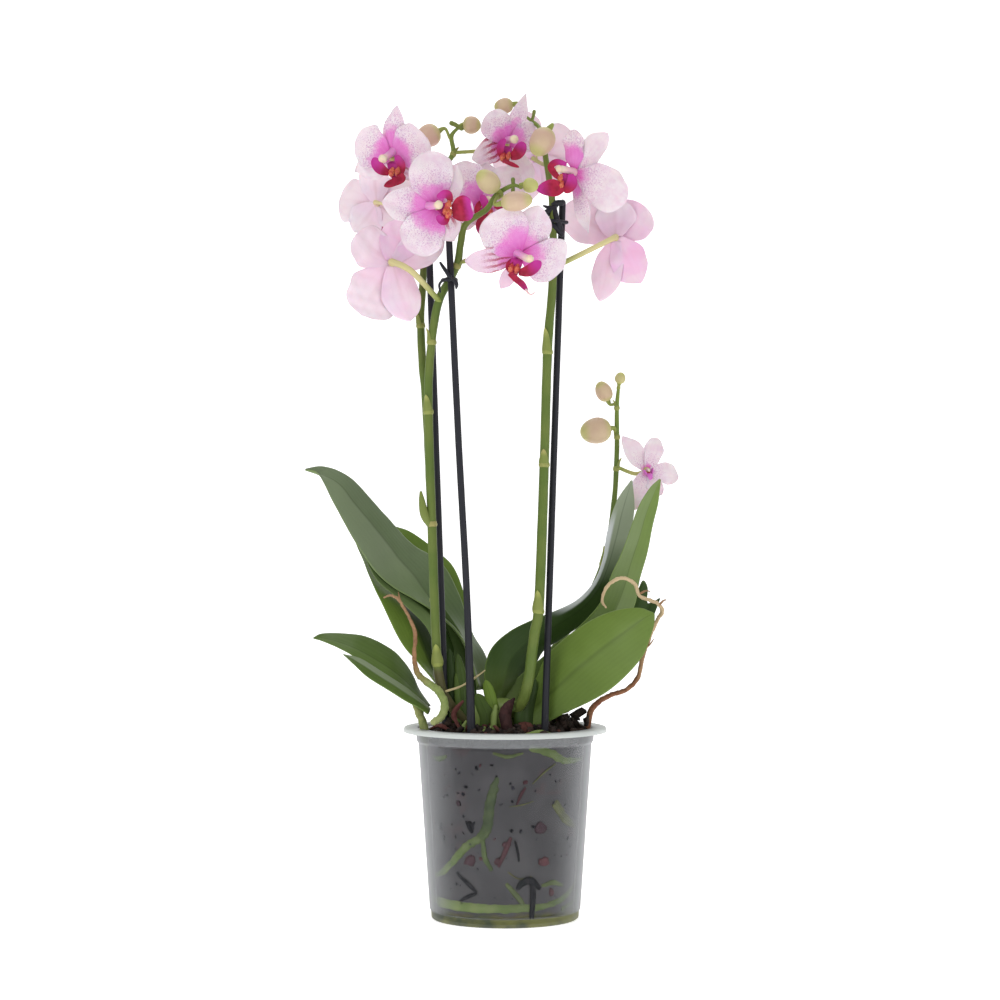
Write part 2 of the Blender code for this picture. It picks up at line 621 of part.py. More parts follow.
FLOWERS = {
    "flower_top_left": dict(
        centre=(-67, -26, 451), face=(-0.4, -0.85, -0.3), top=85,
        tepals=[(85, 30, 8), (160, 27, 14), (22, 26, 14), (205, 25, 8), (325, 20, 8)],
        spike="spike_back_left", near=(-41, 4, 427), bend=(-60, -12, 445)),
    "flower_far_left": dict(
        centre=(-76, 2, 424), face=(-0.6, 0.75, 0.1), top=0,
        tepals=[(3, 28, 12), (62, 33, 9), (128, 24, 12), (205, 20, 9), (275, 30, 13)],
        spike="spike_back_left", near=(-47, -3, 396), bend=(-66, -8, 419)),
    "flower_left_middle": dict(
        centre=(-43, -48, 418), face=(0.2, -0.95, -0.1), top=172,
        tepals=[(172, 30, 11), (98, 33, 13), (241, 31, 14), (68, 26, 9), (310, 22, 9)],
        spike="spike_front_left", near=(-24, -27, 408), bend=(-38, -38, 415)),
    "flower_middle": dict(
        centre=(-14, 4, 424), face=(0.15, -0.95, -0.2), top=80,
        tepals=[(142, 28, 15), (80, 26, 10), (20, 24, 13), (215, 20, 8), (300, 20, 8)],
        spike="spike_back_left", near=(-38, 7, 438), bend=(-20, 13, 426)),
    "flower_top_middle": dict(
        centre=(1, 7, 463), face=(0.42, -0.86, -0.2), top=66,
        tepals=[(64, 29, 8), (150, 20, 11), (10, 16, 8), (212, 25, 9), (290, 27, 9)],
        spike="spike_back_left", near=(-31, 14, 456), bend=(-9, 15, 458)),
    "flower_low_middle": dict(
        centre=(10, -33, 394), face=(0.38, -0.8, -0.42), top=110,
        tepals=[(65, 29, 12), (140, 31, 13), (186, 35, 9), (245, 28, 7), (350, 29, 14)],
        spike="spike_front_left", near=(-28, -25, 387), bend=(-1, -24, 392)),
    "flower_behind": dict(
        centre=(18, 36, 455), face=(0.15, 0.95, 0.1), top=80,
        tepals=[(75, 30, 9), (3, 26, 13), (148, 28, 13), (215, 26, 9), (290, 30, 9)],
        spike="spike_right", near=(25, -7, 446), bend=(22, 18, 450)),
    "flower_top_right": dict(
        centre=(43, -17, 440), face=(-0.5, -0.83, -0.2), top=50,
        tepals=[(46, 29, 9), (336, 36, 14), (102, 27, 9), (284, 36, 7), (200, 12, 6)],
        spike="spike_right", near=(27, -10, 430), bend=(42, -7, 436)),
    "flower_right": dict(
        centre=(66, 5, 404), face=(0.25, 0.93, -0.12), top=285,
        tepals=[(22, 39, 12), (80, 27, 12), (132, 26, 11), (238, 31, 13), (285, 41, 10)],
        spike="spike_right", near=(29, -14, 385), bend=(60, -5, 401)),
    "flower_low_left": dict(
        centre=(-66, -28, 386), face=(-0.25, 0.93, -0.2), top=258,
        tepals=[(159, 34, 11), (258, 40, 10), (308, 33, 15), (58, 27, 12), (103, 28, 9)],
        spike="spike_front_left", near=(-40, -23, 361), bend=(-60, -35, 382)),
    "flower_small": dict(
        centre=(84, 34, 264), face=(0.25, -0.93, 0.1), top=100, knob=0.6,
        tepals=[(122, 25, 6), (70, 21, 6), (350, 20, 6), (298, 18, 5), (250, 25, 6)],
        spike="spike_young", near=(68, 38, 268), bend=(79, 40, 264)),
}
BACK_VIEWS = ("flower_far_left", "flower_low_left", "flower_behind", "flower_right", "flower_small")

for name, shape in FLOWERS.items():
    finish = PETAL_PALE if name in BACK_VIEWS else PETAL_PINK
    mesh_object(name, flower_body(**shape), finish, shape["centre"])


# ---------------------------------------------------------------- buds

BUDS = {
    "bud_top_left": dict(
        centre=(-47, 14, 465), tip=(-0.7, -0.1, -0.4), size=(14, 6.6),
        spike="spike_back_left", near=(-32, 14, 464)),
    "bud_top_second": dict(
        centre=(-19.5, 14, 473), tip=(1, -0.2, -0.2), size=(9.5, 5.0), spike="spike_back_left",
        near=(-27, 14, 472), end=True),
    "bud_top_third": dict(
        centre=(-1, 16, 484.5), tip=(-1, 0, -0.2), size=(12, 4.7), spike="spike_right",
        near=(11, 17, 479), end=True),
    "bud_right_large": dict(
        centre=(20, -20, 457), tip=(-0.45, -0.35, -1), size=(18, 7.4), spike="spike_right",
        near=(21, 0, 465)),
    "bud_front_round": dict(
        centre=(-13, -46, 434), tip=(-0.5, -0.4, 0.7), size=(15, 6.6),
        spike="spike_front_left", near=(-8, -36, 420)),
    "bud_front_long": dict(
        centre=(6, -55, 420), tip=(1, -0.3, 0.05), size=(19, 6.2), spike="spike_front_left",
        near=(-4, -40, 426)),
    "bud_front_small": dict(
        centre=(16, -46, 428), tip=(1, 0, -0.2), size=(8, 3.9), spike="spike_front_left",
        near=(9, -43, 429), end=True),
    "bud_young_upper": dict(
        centre=(60, 38, 314), tip=(-0.5, -0.3, 1), size=(13, 4.9), spike="spike_young",
        near=(68, 38, 305)),
    "bud_young_tip": dict(
        centre=(70, 36, 322), tip=(0.2, -0.3, 1), size=(7, 3.2), spike="spike_young",
        near=(69, 38, 316), end=True),
    "bud_young_large": dict(
        centre=(55, 34, 290), tip=(-1, -0.2, -0.15), size=(19, 7.9), spike="spike_young",
        near=(68, 38, 287)),
}


def bud_body(centre, tip, size, spike, near, end=False):
    """A closed bud on its stalk: an egg, blunt at the stalk, drawn along one line. At a spike's
    end the stalk goes on from the tip."""
    centre = np.asarray(centre, float)
    direction = unit(tip)
    length, radius = size
    heel = centre - direction * length / 2
    if end:
        line = smooth(SPIKES[spike][0], 60)
        away = unit(line[-1] - line[-2])
        joint = [line[-1] + away * 1.8, line[-1] + away * (FIT_GAP + 0.3)]
    else:
        joint = attached(spike, near, heel)
    step = min(4.0, 0.4 * np.linalg.norm(heel - joint[0]))
    stalk_line = smooth([joint[1], joint[0], heel - direction * step, heel], 6)[:-1]
    share = np.array([0.0, 0.10, 0.3, 0.55, 0.8, 0.95, 1.0])
    body_line = heel + direction * (share * length)[:, None]
    line = np.vstack([stalk_line, body_line])
    swell = radius * np.array([0.25, 0.62, 0.93, 1.0, 0.74, 0.36, 0.1])
    radii = np.concatenate([[0.9, 0.9, 0.9, 0.9, 1.0], swell])
    along, side, up = frames(line)
    turn = 2 * math.pi * np.arange(STEM_SIDES) / STEM_SIDES
    rings = (line[:, None] + radii[:, None, None] * (np.cos(turn)[None, :, None] * side[:, None]
                                                     + np.sin(turn)[None, :, None] * up[:, None]))
    return skin(rings)


for name, shape in BUDS.items():
    mesh_object(name, bud_body(**shape), BUD_TAN, shape["centre"])


# ---------------------------------------------------------------- clips

def clip_body(stake, stem, stake_radius, stem_radius, grip=1.3):
    """A plastic claw clip: a band round stake and stem together, level, with a long claw."""
    stake = np.asarray(stake, float)
    stem = np.asarray(stem, float)
    apart = stem - stake
    apart[2] = 0
    reach = np.linalg.norm(apart)
    x = apart / reach
    y = np.cross((0, 0, 1), x)
    ring = []
    clear = FIT_GAP + grip
    for k in range(7):
        turn = math.pi / 2 + math.pi * k / 6
        r = stake_radius + clear
        ring.append(stake + x * r * math.cos(turn) + y * r * math.sin(turn))
    for k in range(7):
        turn = -math.pi / 2 + math.pi * k / 6
        r = stem_radius + clear
        ring.append(stem * (1, 1, 0) + stake * (0, 0, 1) + x * r * math.cos(turn)
                    + y * r * math.sin(turn))
    path = np.array(ring)
    count = len(path)
    following = np.roll(path, -1, axis=0)
    before = np.roll(path, 1, axis=0)
    outward = np.cross(unit(following - before), (0, 0, 1.0))
    sides = 5
    points = []
    for j in range(count):
        for k in range(sides):
            turn = 2 * math.pi * k / sides
            points.append(path[j] + grip * math.cos(turn) * outward[j]
                          + np.array((0, 0, 1.8 * grip)) * math.sin(turn))
    index = np.arange(count * sides).reshape(count, sides)
    faces = []
    for j in range(count):
        faces += [face[::-1] for face in quads(index[j], index[(j + 1) % count])]
    return np.array(points), faces


CLIPS = {
    "clip_left": ("stake_left_front", "spike_front_left", 377, 3.1),
    "clip_right": ("stake_right", "spike_right", 412, 2.5),
}


def at_height(path, height):
    line = smooth(path, 400)
    return line[np.argmin(abs(line[:, 2] - height))]


for name, (stake, spike, height, hold) in CLIPS.items():
    rod = at_height(STAKES[stake], height)
    stem = at_height(SPIKES[spike][0], height)
    mesh_object(name, clip_body(rod, stem, STAKE_RADIUS, hold), STAKE_BLACK)


# ---------------------------------------------------------------- loose pieces on the bark

LOOSE_PIECES = {
    "dead_husk": dict(path=[(6, -24, 109.7), (4, -22, 116), (1, -20, 122), (-2, -19, 126)],
                      radii=[3.6, 3.4, 2.6, 1.2], finish=HUSK_BROWN),
    "bark_chip_left": dict(path=[(-24, -38, 108.8), (-30, -36, 109.2), (-35, -32, 108.8)],
                           radii=[1.6, 2.2, 1.3], finish=HUSK_BROWN),
    "bark_chip_red": dict(path=[(-23, -27, 109), (-26, -26, 115), (-28, -26, 121)],
                          radii=[1.6, 2.1, 1.1], finish=HUSK_BROWN),
    "bark_chip_right": dict(path=[(31, -26, 108.5), (37, -23, 109.0), (42, -20, 108.5)],
                            radii=[1.5, 2.2, 1.4], finish=BARK),
}
for name, shape in LOOSE_PIECES.items():
    mesh_object(name, tube(shape["path"], shape["radii"], 6, 5, squash=0.7), shape["finish"])
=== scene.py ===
"""Looks of the potted orchid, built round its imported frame.

Lengths in the tables are millimetres and angles are degrees. The origin is the centre of the pot's
underside, +Z is up, and the side that the plant shows faces -Y."""

import math

import bpy
import numpy as np
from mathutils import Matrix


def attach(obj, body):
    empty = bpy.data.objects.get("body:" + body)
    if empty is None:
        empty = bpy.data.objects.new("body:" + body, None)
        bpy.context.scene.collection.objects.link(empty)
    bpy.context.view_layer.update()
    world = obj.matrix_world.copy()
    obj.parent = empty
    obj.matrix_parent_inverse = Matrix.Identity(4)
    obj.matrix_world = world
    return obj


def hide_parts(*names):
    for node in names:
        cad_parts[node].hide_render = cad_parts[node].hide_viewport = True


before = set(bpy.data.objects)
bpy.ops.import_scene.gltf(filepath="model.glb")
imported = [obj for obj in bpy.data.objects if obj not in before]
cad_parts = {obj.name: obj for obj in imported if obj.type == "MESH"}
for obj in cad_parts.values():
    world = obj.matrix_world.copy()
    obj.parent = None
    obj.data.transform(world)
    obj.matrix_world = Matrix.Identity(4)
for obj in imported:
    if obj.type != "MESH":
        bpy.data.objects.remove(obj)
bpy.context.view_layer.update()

MM = 0.001
UP = np.array((0.0, 0.0, 1.0))
CORNER_ROUND = 0.3


# ---------------------------------------------------------------- sums on arrays

def unit(vectors):
    vectors = np.asarray(vectors, float)
    return vectors / np.maximum(np.linalg.norm(vectors, axis=-1, keepdims=True), 1e-9)


def run_along(line):
    """How far along a line each of its points lies."""
    return np.concatenate([[0], np.cumsum(np.linalg.norm(np.diff(line, axis=0), axis=1))])


def triples(first, second=0.0, third=0.0):
    """Three values at each point, as one mark."""
    return np.stack(np.broadcast_arrays(first, second, third), axis=1)


def eased(values, low, high):
    """0 below `low`, 1 above `high`, and an S-shaped rise between them."""
    share = np.clip((values - low) / (high - low), 0.0, 1.0)
    return share * share * (3 - 2 * share)


def rounded(points, where):
    """The rounded (Catmull-Rom) curve through evenly numbered points, read at shares 0 to 1."""
    points = np.asarray(points, float)
    if points.ndim == 1:
        points = points[:, None]
    padded = np.vstack([2 * points[0] - points[1], points, 2 * points[-1] - points[-2]])
    place = np.asarray(where, float) * (len(points) - 1)
    piece = np.minimum(place.astype(int), len(points) - 2)
    t = (place - piece)[:, None]
    a, b, c, d = (padded[piece + k] for k in range(4))
    return 0.5 * (2 * b + (c - a) * t + (2 * a - 5 * b + 4 * c - d) * t**2
                  + (3 * b - 3 * c + d - a) * t**3)


def lumps(points, size, seed=0):
    """Smooth noise from -1 to 1: the mean of eight sine waves, about `size` long, in fixed
    directions."""
    chance = np.random.default_rng(seed)
    ways = unit(chance.normal(size=(8, 3))) * chance.uniform(0.6, 1.6, (8, 1)) * 2 * math.pi / size
    return np.sin(points @ ways.T + chance.uniform(0, 2 * math.pi, 8)).mean(axis=-1) * 1.6


def carried(line, first_side=(0.31, 0.95, 0.0), outward=False):
    """The direction along a line and two square-on vectors that don't twist round it, or of which
    the first points away from the Z axis."""
    along = unit(np.gradient(line, axis=0))
    if outward:
        away = line * (1, 1, 0)
        side = unit(away - along * (away * along).sum(axis=1)[:, None])
        return along, side, np.cross(along, side)
    side = np.zeros_like(line)
    held = np.asarray(first_side, float)
    for row, direction in enumerate(along):
        held = unit(held - direction * (held @ direction))
        side[row] = held
    return along, side, np.cross(along, side)


# ---------------------------------------------------------------- skins

class Skin:
    """A surface: its points, four- and three-cornered faces, the marks that materials read at each
    point, and the number of the finish on each face."""

    def __init__(self, points, quads, tris, marks, finish=0):
        self.points, self.quads, self.tris, self.marks = points, quads, tris, marks
        self.finishes = np.full(len(quads) + len(tris), finish)

    def finished(self, number):
        self.finishes[:] = number
        return self

    def tinted(self, *tint):
        self.marks["tint"] = np.tile(np.asarray(tint, float), (len(self.points), 1))
        return self


def skin(rings, marks=None):
    """A closed skin over rings of points, each ring one row; the first and last rows close on their
    own middle point."""
    rows, count = rings.shape[:2]
    points = np.vstack([rings.reshape(-1, 3), rings[0].mean(axis=0), rings[-1].mean(axis=0)])
    index = np.arange(rows * count).reshape(rows, count)
    after = np.roll(index, -1, axis=1)
    quads = np.stack([index[:-1], after[:-1], after[1:], index[1:]], axis=-1).reshape(-1, 4)
    first = np.full(count, rows * count)
    tris = np.vstack([np.stack([first, after[0], index[0]], axis=1),
                      np.stack([first + 1, index[-1], after[-1]], axis=1)])
    full = {}
    for name, values in (marks or {}).items():
        values = np.broadcast_to(values, (rows, count, 3))
        full[name] = np.vstack([values.reshape(-1, 3), values[0].mean(axis=0),
                                values[-1].mean(axis=0)])
    return Skin(points, quads, tris, full)


def joined(skins):
    """Several skins as one."""
    shift = np.cumsum([0] + [len(s.points) for s in skins])
    names = {name for s in skins for name in s.marks}
    marks = {name: np.vstack([s.marks.get(name, np.zeros((len(s.points), 3))) for s in skins])
             for name in names}
    whole = Skin(np.vstack([s.points for s in skins]),
                 np.vstack([s.quads + k for s, k in zip(skins, shift)]),
                 np.vstack([s.tris + k for s, k in zip(skins, shift)]), marks)
    whole.finishes = np.concatenate([s.finishes[:len(s.quads)] for s in skins]
                                    + [s.finishes[len(s.quads):] for s in skins])
    return whole


def mesh_of(name, body):
    mesh = bpy.data.meshes.new(name)
    mesh.from_pydata((body.points * MM).tolist(), [], body.quads.tolist() + body.tris.tolist())
    return mesh


def placed(name, data):
    """An object of this data in the scene."""
    made = bpy.data.objects.new(name, data)
    bpy.context.scene.collection.objects.link(made)
    return made


def show(name, body, finishes, nodes=()):
    """Makes a skin a piece of the object that stands for the named nodes of the frame."""
    mesh = mesh_of(name, body)
    for made in finishes:
        mesh.materials.append(made)
    mesh.polygons.foreach_set("material_index", body.finishes.astype(np.int32))
    mesh.polygons.foreach_set("use_smooth", np.full(len(mesh.polygons), True))
    for mark, values in body.marks.items():
        layer = mesh.attributes.new(mark, "FLOAT_VECTOR", "POINT")
        layer.data.foreach_set("vector", values.astype(np.float32).ravel())
    mesh.update()
    made = placed(name, mesh)
    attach(made, "root")
    if nodes:
        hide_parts(*nodes)
    return made


def rod(path, radii, sides=14, rows=40, squash=1.0, rough=0.0, grain=5.0, seed=0, dome=(1, 1),
        first_side=(0.31, 0.95, 0.0), flutes=(0, 0.0), outward=False):
    """A bar along the rounded curve through `path`. Each ring is a circle of the rounded radius,
    flattened by `squash`, and pushed in and out by `rough` with noise about `grain` long. The ends
    close as quarter circles, as deep as `dome` times the radius."""
    share = np.linspace(0, 1, rows)
    line = rounded(path, share)
    radius = np.maximum(rounded(radii, share)[:, 0], 0.05)
    along, side, up = carried(line, first_side, outward)
    fall = np.radians((72, 48, 24))
    start = [(line[0] - along[0] * radius[0] * dome[0] * math.sin(a), radius[0] * math.cos(a), 0)
             for a in fall] if dome[0] else []
    end = [(line[-1] + along[-1] * radius[-1] * dome[1] * math.sin(a), radius[-1] * math.cos(a), -1)
           for a in fall[::-1]] if dome[1] else []
    order = [0] * len(start) + list(range(rows)) + [rows - 1] * len(end)
    centres = np.array([p for p, _, _ in start] + list(line) + [p for p, _, _ in end])
    radius = np.array([r for _, r, _ in start] + list(radius) + [r for _, r, _ in end])
    turn = np.arange(sides) * 2 * math.pi / sides
    out = (np.cos(turn)[None, :, None] * side[order][:, None]
           + squash * np.sin(turn)[None, :, None] * up[order][:, None])
    ridge = 1 + flutes[1] * np.cos(flutes[0] * turn)
    rings = centres[:, None] + radius[:, None, None] * ridge[None, :, None] * out
    if rough:
        rings += out * (rough * lumps(rings, grain, seed))[..., None]
    run = run_along(centres)
    place = np.zeros(rings.shape)
    place[..., 0] = run[:, None]
    place[..., 1] = (run / run[-1])[:, None]
    place[..., 2] = np.cos(turn)[None, :]
    return skin(rings, {"place": place})


OUTLINES = {
    # share of the width at the base, where it is widest, and the two powers that close the tip
    "leaf": (0.3, 0.42, 2.2, 0.85),
    "petal": (0.16, 0.56, 2.4, 0.5),
    "sepal": (0.34, 0.5, 1.9, 0.78),
    "lobe": (0.45, 0.55, 2.2, 0.5),
    "strap": (0.8, 0.5, 3.0, 0.6),
    "point": (0.9, 0.2, 1.4, 1.1),
}
BLADE_EDGE, LEAF_EDGE = 0.35, 0.3  # share of a sheet's thickness left at its edges


def blade(path, lean, half, outline="leaf", thickness=1.0, rows=36, across=14, fold=0.0, cup=0.0,
          wave=0.0, waves=3.0, seed=0, facing=None, ragged=0.0):
    """A thin closed sheet. At each station of the rounded curve through `path` it reaches to both
    sides along `lean`, as far as `half` times the outline. Across the sheet it is creased by `fold`
    times |a|, hollowed by `cup` times a squared, and ruffled near its edges by `wave`; its outline
    swings in and out by the share `ragged`. Its two faces stand half the thickness apart from that
    middle sheet and thin out towards the edge."""
    share = 1 - (1 - np.linspace(0, 1, rows)) ** 1.5
    share = 0.35 * np.linspace(0, 1, rows) + 0.65 * share
    line = rounded(path, share)
    along = unit(np.gradient(line, axis=0))
    reach = rounded(lean, share) if len(lean) > 1 else np.tile(np.asarray(lean, float), (rows, 1))
    reach = unit(reach - along * (reach * along).sum(axis=1)[:, None])
    face = np.cross(reach, along)
    if facing is not None and (face @ np.asarray(facing, float)).sum() < 0:
        reach, face = -reach, -face
    base, widest, bulge, close = OUTLINES[outline]
    swell = base + (1 - base) * np.sin(np.minimum(share / widest, 1.0) * math.pi / 2)
    closing = np.clip(1 - (np.clip(share - widest, 0, 1) / (1 - widest)) ** bulge, 0, 1) ** close
    width = np.maximum(half * swell * closing, 0.02 * half)
    a = stations_across(across)
    rise = fold * np.abs(a) ** 1.4 + cup * a**2
    swing = 1 + ragged * np.sin(7.0 * share[:, None] + 2.3 * seed + 1.9 * np.sign(a)[None, :])
    swing = swing + 0.5 * ragged * np.sin(17.0 * share[:, None] + seed + 2.6 * np.sign(a)[None, :])
    middle = line[:, None] + reach[:, None] * (a[None, :] * width[:, None] * swing)[..., None]
    middle = middle + face[:, None] * (rise[None, :] * width[:, None])[..., None]
    phase = 2 * math.pi * waves * share[:, None] + 1.7 * seed + 1.3 * np.sign(a)[None, :]
    ruffle = wave * np.sin(phase) * np.abs(a)[None, :] ** 2.5 * eased(share, 0.1, 0.5)[:, None]
    ruffle = ruffle + 0.35 * wave * lumps(middle, 9.0, seed) * eased(share, 0, 0.4)[:, None]
    middle = middle + face[:, None] * ruffle[..., None]
    return sheet(middle, a, run_along(line), width, thickness * (1 - 0.5 * share), BLADE_EDGE, seed)


def stations_across(count):
    """Steps from -1 at the left edge to 1 at the right, closer together at the edges."""
    a = np.linspace(-1, 1, count + 1)
    return 0.5 * np.sin(a * math.pi / 2) + 0.5 * a


def sheet(middle, a, run, width, thickness, edge, seed):
    """A closed skin round a grid of middle points: each is moved half the thickness to both sides,
    less towards the edges, where `edge` of the thickness is left."""
    thin = np.sqrt(np.clip(1 - a**2, 0, 1)) * (1 - edge) + edge
    down = np.cross(np.gradient(middle, axis=1), np.gradient(middle, axis=0))
    lift = unit(down) * (0.5 * thickness[:, None] * thin[None, :])[..., None]
    rings = np.concatenate([middle + lift, (middle - lift)[:, ::-1]], axis=1)
    spread = np.concatenate([a, a[::-1]])
    place = np.zeros(rings.shape)
    place[..., 0] = spread[None, :]
    place[..., 1] = (run / run[-1])[:, None]
    place[..., 2] = np.repeat([1.0, 0.0], len(a))[None, :]
    flat = np.zeros(rings.shape)
    flat[..., 0] = spread[None, :] * width[:, None]
    flat[..., 1] = run[:, None]
    flat[..., 2] = 7.3 * seed
    return skin(rings, {"place": place, "flat": flat})


def along_length(points, shares):
    """The rounded curve through points, read at shares of its own length."""
    line = rounded(points, np.linspace(0, 1, 300))
    run = run_along(line)
    return np.stack([np.interp(shares, run / run[-1], line[:, axis]) for axis in range(3)], axis=1)


def leaf_skin(left, rib, right, thickness=2.0, rows=80, across=26, crease=1.35, wave=0.5, seed=0):
    """A leaf held between two edge curves and creased along its middle rib. At each station, with a
    from -1 at the left edge to 1 at the right, the point is the rib plus a times half the width
    vector plus |a| to the power `crease` times the rise of the edges over the rib."""
    t = np.linspace(0, 1, rows)
    share = 0.992 * (0.45 * t + 0.55 * (1 - (1 - t) ** 1.5))
    left, rib, right = (along_length(curve, share) for curve in (left, rib, right))
    a = stations_across(across)
    half, rise = (right - left) / 2, (right + left) / 2 - rib
    middle = (rib[:, None] + half[:, None] * a[None, :, None]
              + rise[:, None] * (np.abs(a) ** crease)[None, :, None])
    face = unit(np.cross(np.gradient(middle, axis=1), np.gradient(middle, axis=0)))
    swell = wave * (lumps(middle, 42.0, seed) + 0.4 * lumps(middle, 16.0, seed + 1))
    middle = middle + face * (swell * eased(1 - share, 0.0, 0.1)[:, None])[..., None]
    return sheet(middle, a, run_along(rib), np.linalg.norm(half, axis=1),
                 thickness * (1 - 0.6 * share), LEAF_EDGE, seed)


def softened(profile):
    """A profile whose corners are each cut to a four-point round of about CORNER_ROUND."""
    profile = np.asarray(profile, float)
    made = [profile[0]]
    for before, corner, after in zip(profile, profile[1:], profile[2:]):
        into, out = before - corner, after - corner
        room = min(CORNER_ROUND, 0.45 * np.linalg.norm(into), 0.45 * np.linalg.norm(out))
        p, q = corner + unit(into) * room, corner + unit(out) * room
        for t in (0, 0.33, 0.67, 1):
            made.append((1 - t) ** 2 * p + 2 * t * (1 - t) * corner + t**2 * q)
    return np.array(made + [profile[-1]])


def turned(profile, sides):
    """A body turned round Z from (radius, height) pairs, which start and end on the axis."""
    profile = softened(profile)[1:-1]
    turn = np.arange(sides) * 2 * math.pi / sides
    rings = np.stack([profile[:, :1] * np.cos(turn), profile[:, :1] * np.sin(turn),
                      np.repeat(profile[:, 1:], sides, axis=1)], axis=-1)
    return skin(rings)


# ---------------------------------------------------------------- materials

def tone(red, green, blue):
    """A colour given in display values of 0 to 255."""
    shares = np.array((red, green, blue)) / 255
    linear = np.where(shares <= 0.04045, shares / 12.92, ((shares + 0.055) / 1.055) ** 2.4)
    return (*linear, 1.0)


def scaled(colour, share):
    """A colour in display values, made darker or lighter."""
    return [min(share * c, 255) for c in colour]


class Value:
    """One output in the material being made. Sums on it add the nodes that work them out."""

    def __init__(self, finish, socket):
        self.finish, self.socket = finish, socket

    def sum(self, operation, *terms):
        return self.finish.node("ShaderNodeMath", {"operation": operation}, dict(enumerate(terms)))

    def __add__(self, other):
        return self.sum("ADD", self, other)

    def __sub__(self, other):
        return self.sum("SUBTRACT", self, other)

    def __rsub__(self, other):
        return self.sum("SUBTRACT", other, self)

    def __mul__(self, other):
        return self.sum("MULTIPLY", self, other)

    def __pow__(self, other):
        return self.sum("POWER", self, other)

    __radd__ = __add__
    __rmul__ = __mul__

    def sine(self):
        return self.sum("SINE", self)

    def size(self):
        return self.sum("ABSOLUTE", self)

    def eased(self, low, high):
        """0 below `low`, 1 above `high`, with an S-shaped rise. A high below the low turns it
        round."""
        return self.finish.node("ShaderNodeMapRange", {"interpolation_type": "SMOOTHSTEP"},
                                {0: self, 1: low, 2: high, 3: 0.0, 4: 1.0})


class Finish:
    """A material: constants go straight on the shader, patterns come from its nodes."""

    def __init__(self, name, **constants):
        self.material = bpy.data.materials.new(name)
        self.material.use_nodes = True
        self.tree = self.material.node_tree
        self.shader = self.tree.nodes["Principled BSDF"]
        for socket, value in constants.items():
            self.shader.inputs[socket.replace("_", " ")].default_value = value

    def node(self, kind, settings=None, inputs=None, output=0):
        made = self.tree.nodes.new(kind)
        for key, value in (settings or {}).items():
            setattr(made, key, value)
        for key, value in (inputs or {}).items():
            if isinstance(value, Value):
                self.tree.links.new(value.socket, made.inputs[key])
            else:
                made.inputs[key].default_value = value
        return Value(self, made.outputs[output])

    def feed(self, socket, value):
        self.tree.links.new(value.socket, self.shader.inputs[socket])

    def mix(self, share, first, second):
        """Goes from the first colour to the second, each a Value or three display values."""
        first, second = (c if isinstance(c, Value) else tone(*c) for c in (first, second))
        return self.node("ShaderNodeMix", {"data_type": "RGBA"}, {0: share, 6: first, 7: second},
                         output=2)

    def mark(self, name):
        return self.node("ShaderNodeAttribute", {"attribute_name": name}, output=1)

    def parts(self, vector):
        return [self.node("ShaderNodeSeparateXYZ", {}, {0: vector}, output=k) for k in range(3)]

    def place(self):
        return self.node("ShaderNodeTexCoord", output=3)

    def stretched(self, vector, *scale):
        return self.node("ShaderNodeVectorMath", {"operation": "MULTIPLY"}, {0: vector, 1: scale})

    def noise(self, vector, scale, detail=3.0, rough=0.5):
        return self.node("ShaderNodeTexNoise", {},
                         {"Vector": vector, "Scale": scale, "Detail": detail, "Roughness": rough})

    def cells(self, vector, scale, output="Distance"):
        return self.node("ShaderNodeTexVoronoi", {}, {"Vector": vector, "Scale": scale},
                         output=output)

    def bump(self, height, strength=0.3, depth=0.0005):
        self.feed("Normal", self.node("ShaderNodeBump", {},
                                      {"Height": height, "Strength": strength, "Distance": depth}))

    def done(self, colour, roughness):
        """Feeds the two patterns that every finish has, and gives the material."""
        self.feed("Base Color", colour)
        self.feed("Roughness", roughness)
        return self.material


# ---------------------------------------------------------------- finishes

def leaf_finish(name, green, deep, under, rough=0.38):
    """Leaf green, mottled and finely veined along its length, with a dark middle rib and a thin
    pale rim. Marks give a half of it a grey bloom, which on the leaves is a painted sheen, a golden
    tinge or painted shade, and a painted silvery sheen along its edge."""
    made = Finish(name, Specular_IOR_Level=0.16, Coat_Weight=0.04, Coat_Roughness=0.25)
    across, along, side = made.parts(made.mark("place"))
    width, _, _ = made.parts(made.mark("flat"))
    # painted light: bloom is a painted grey sheen, shade is painted shade
    bloom, gold, shade = made.parts(made.mark("tint"))
    # trim here is a painted silvery sheen along the leaf's edge
    silver, _, _ = made.parts(made.mark("trim"))
    spot = made.place()
    mottle = made.noise(spot, 75.0, 4.0)
    cloud = made.noise(spot, 18.0, 2.0)
    veins = (width * 2.4 + made.noise(spot, 25.0) * 1.6).sine() * 0.5 + 0.5
    rib = across.size().eased(0.09, 0.0)
    rim = across.size().eased(0.94, 1.0)
    top = made.mix(cloud.eased(0.3, 0.7), green, deep)
    top = made.mix(mottle.eased(0.4, 0.8) * 0.25, top, scaled(deep, 0.84))
    top = made.mix(veins * 0.08, top, scaled(green, 1.22))
    # painted shade: a half of the leaf darkened as if in shadow
    top = made.mix(shade, top, (34, 54, 18))
    top = made.mix(gold, top, (112, 138, 52))
    # painted sheen: a grey highlight over a half of the leaf
    top = made.mix(bloom * (cloud * 0.5 + 0.75), top, (142, 152, 130))
    top = made.mix(rib * 0.32, top, scaled(deep, 0.55))
    top = made.mix(rim * 0.35, top, (122, 146, 70))
    pale = made.mix(along.eased(0.16, 0.0) * 0.35, top, (122, 140, 70))
    back = made.mix(mottle * 0.3, under, scaled(under, 0.85))
    back = made.mix(across.size().eased(0.08, 0.0) * 0.4, back, scaled(under, 1.3))
    shown = made.mix(side, back, pale)
    made.bump(veins * 0.25 + mottle * 0.3 + rib * -0.8, 0.16, 0.0006)
    # painted silvery sheen on the edge
    return made.done(made.mix(silver, shown, (204, 208, 210)),
                     mottle * 0.16 + (rough - 0.06) + bloom * 0.05)


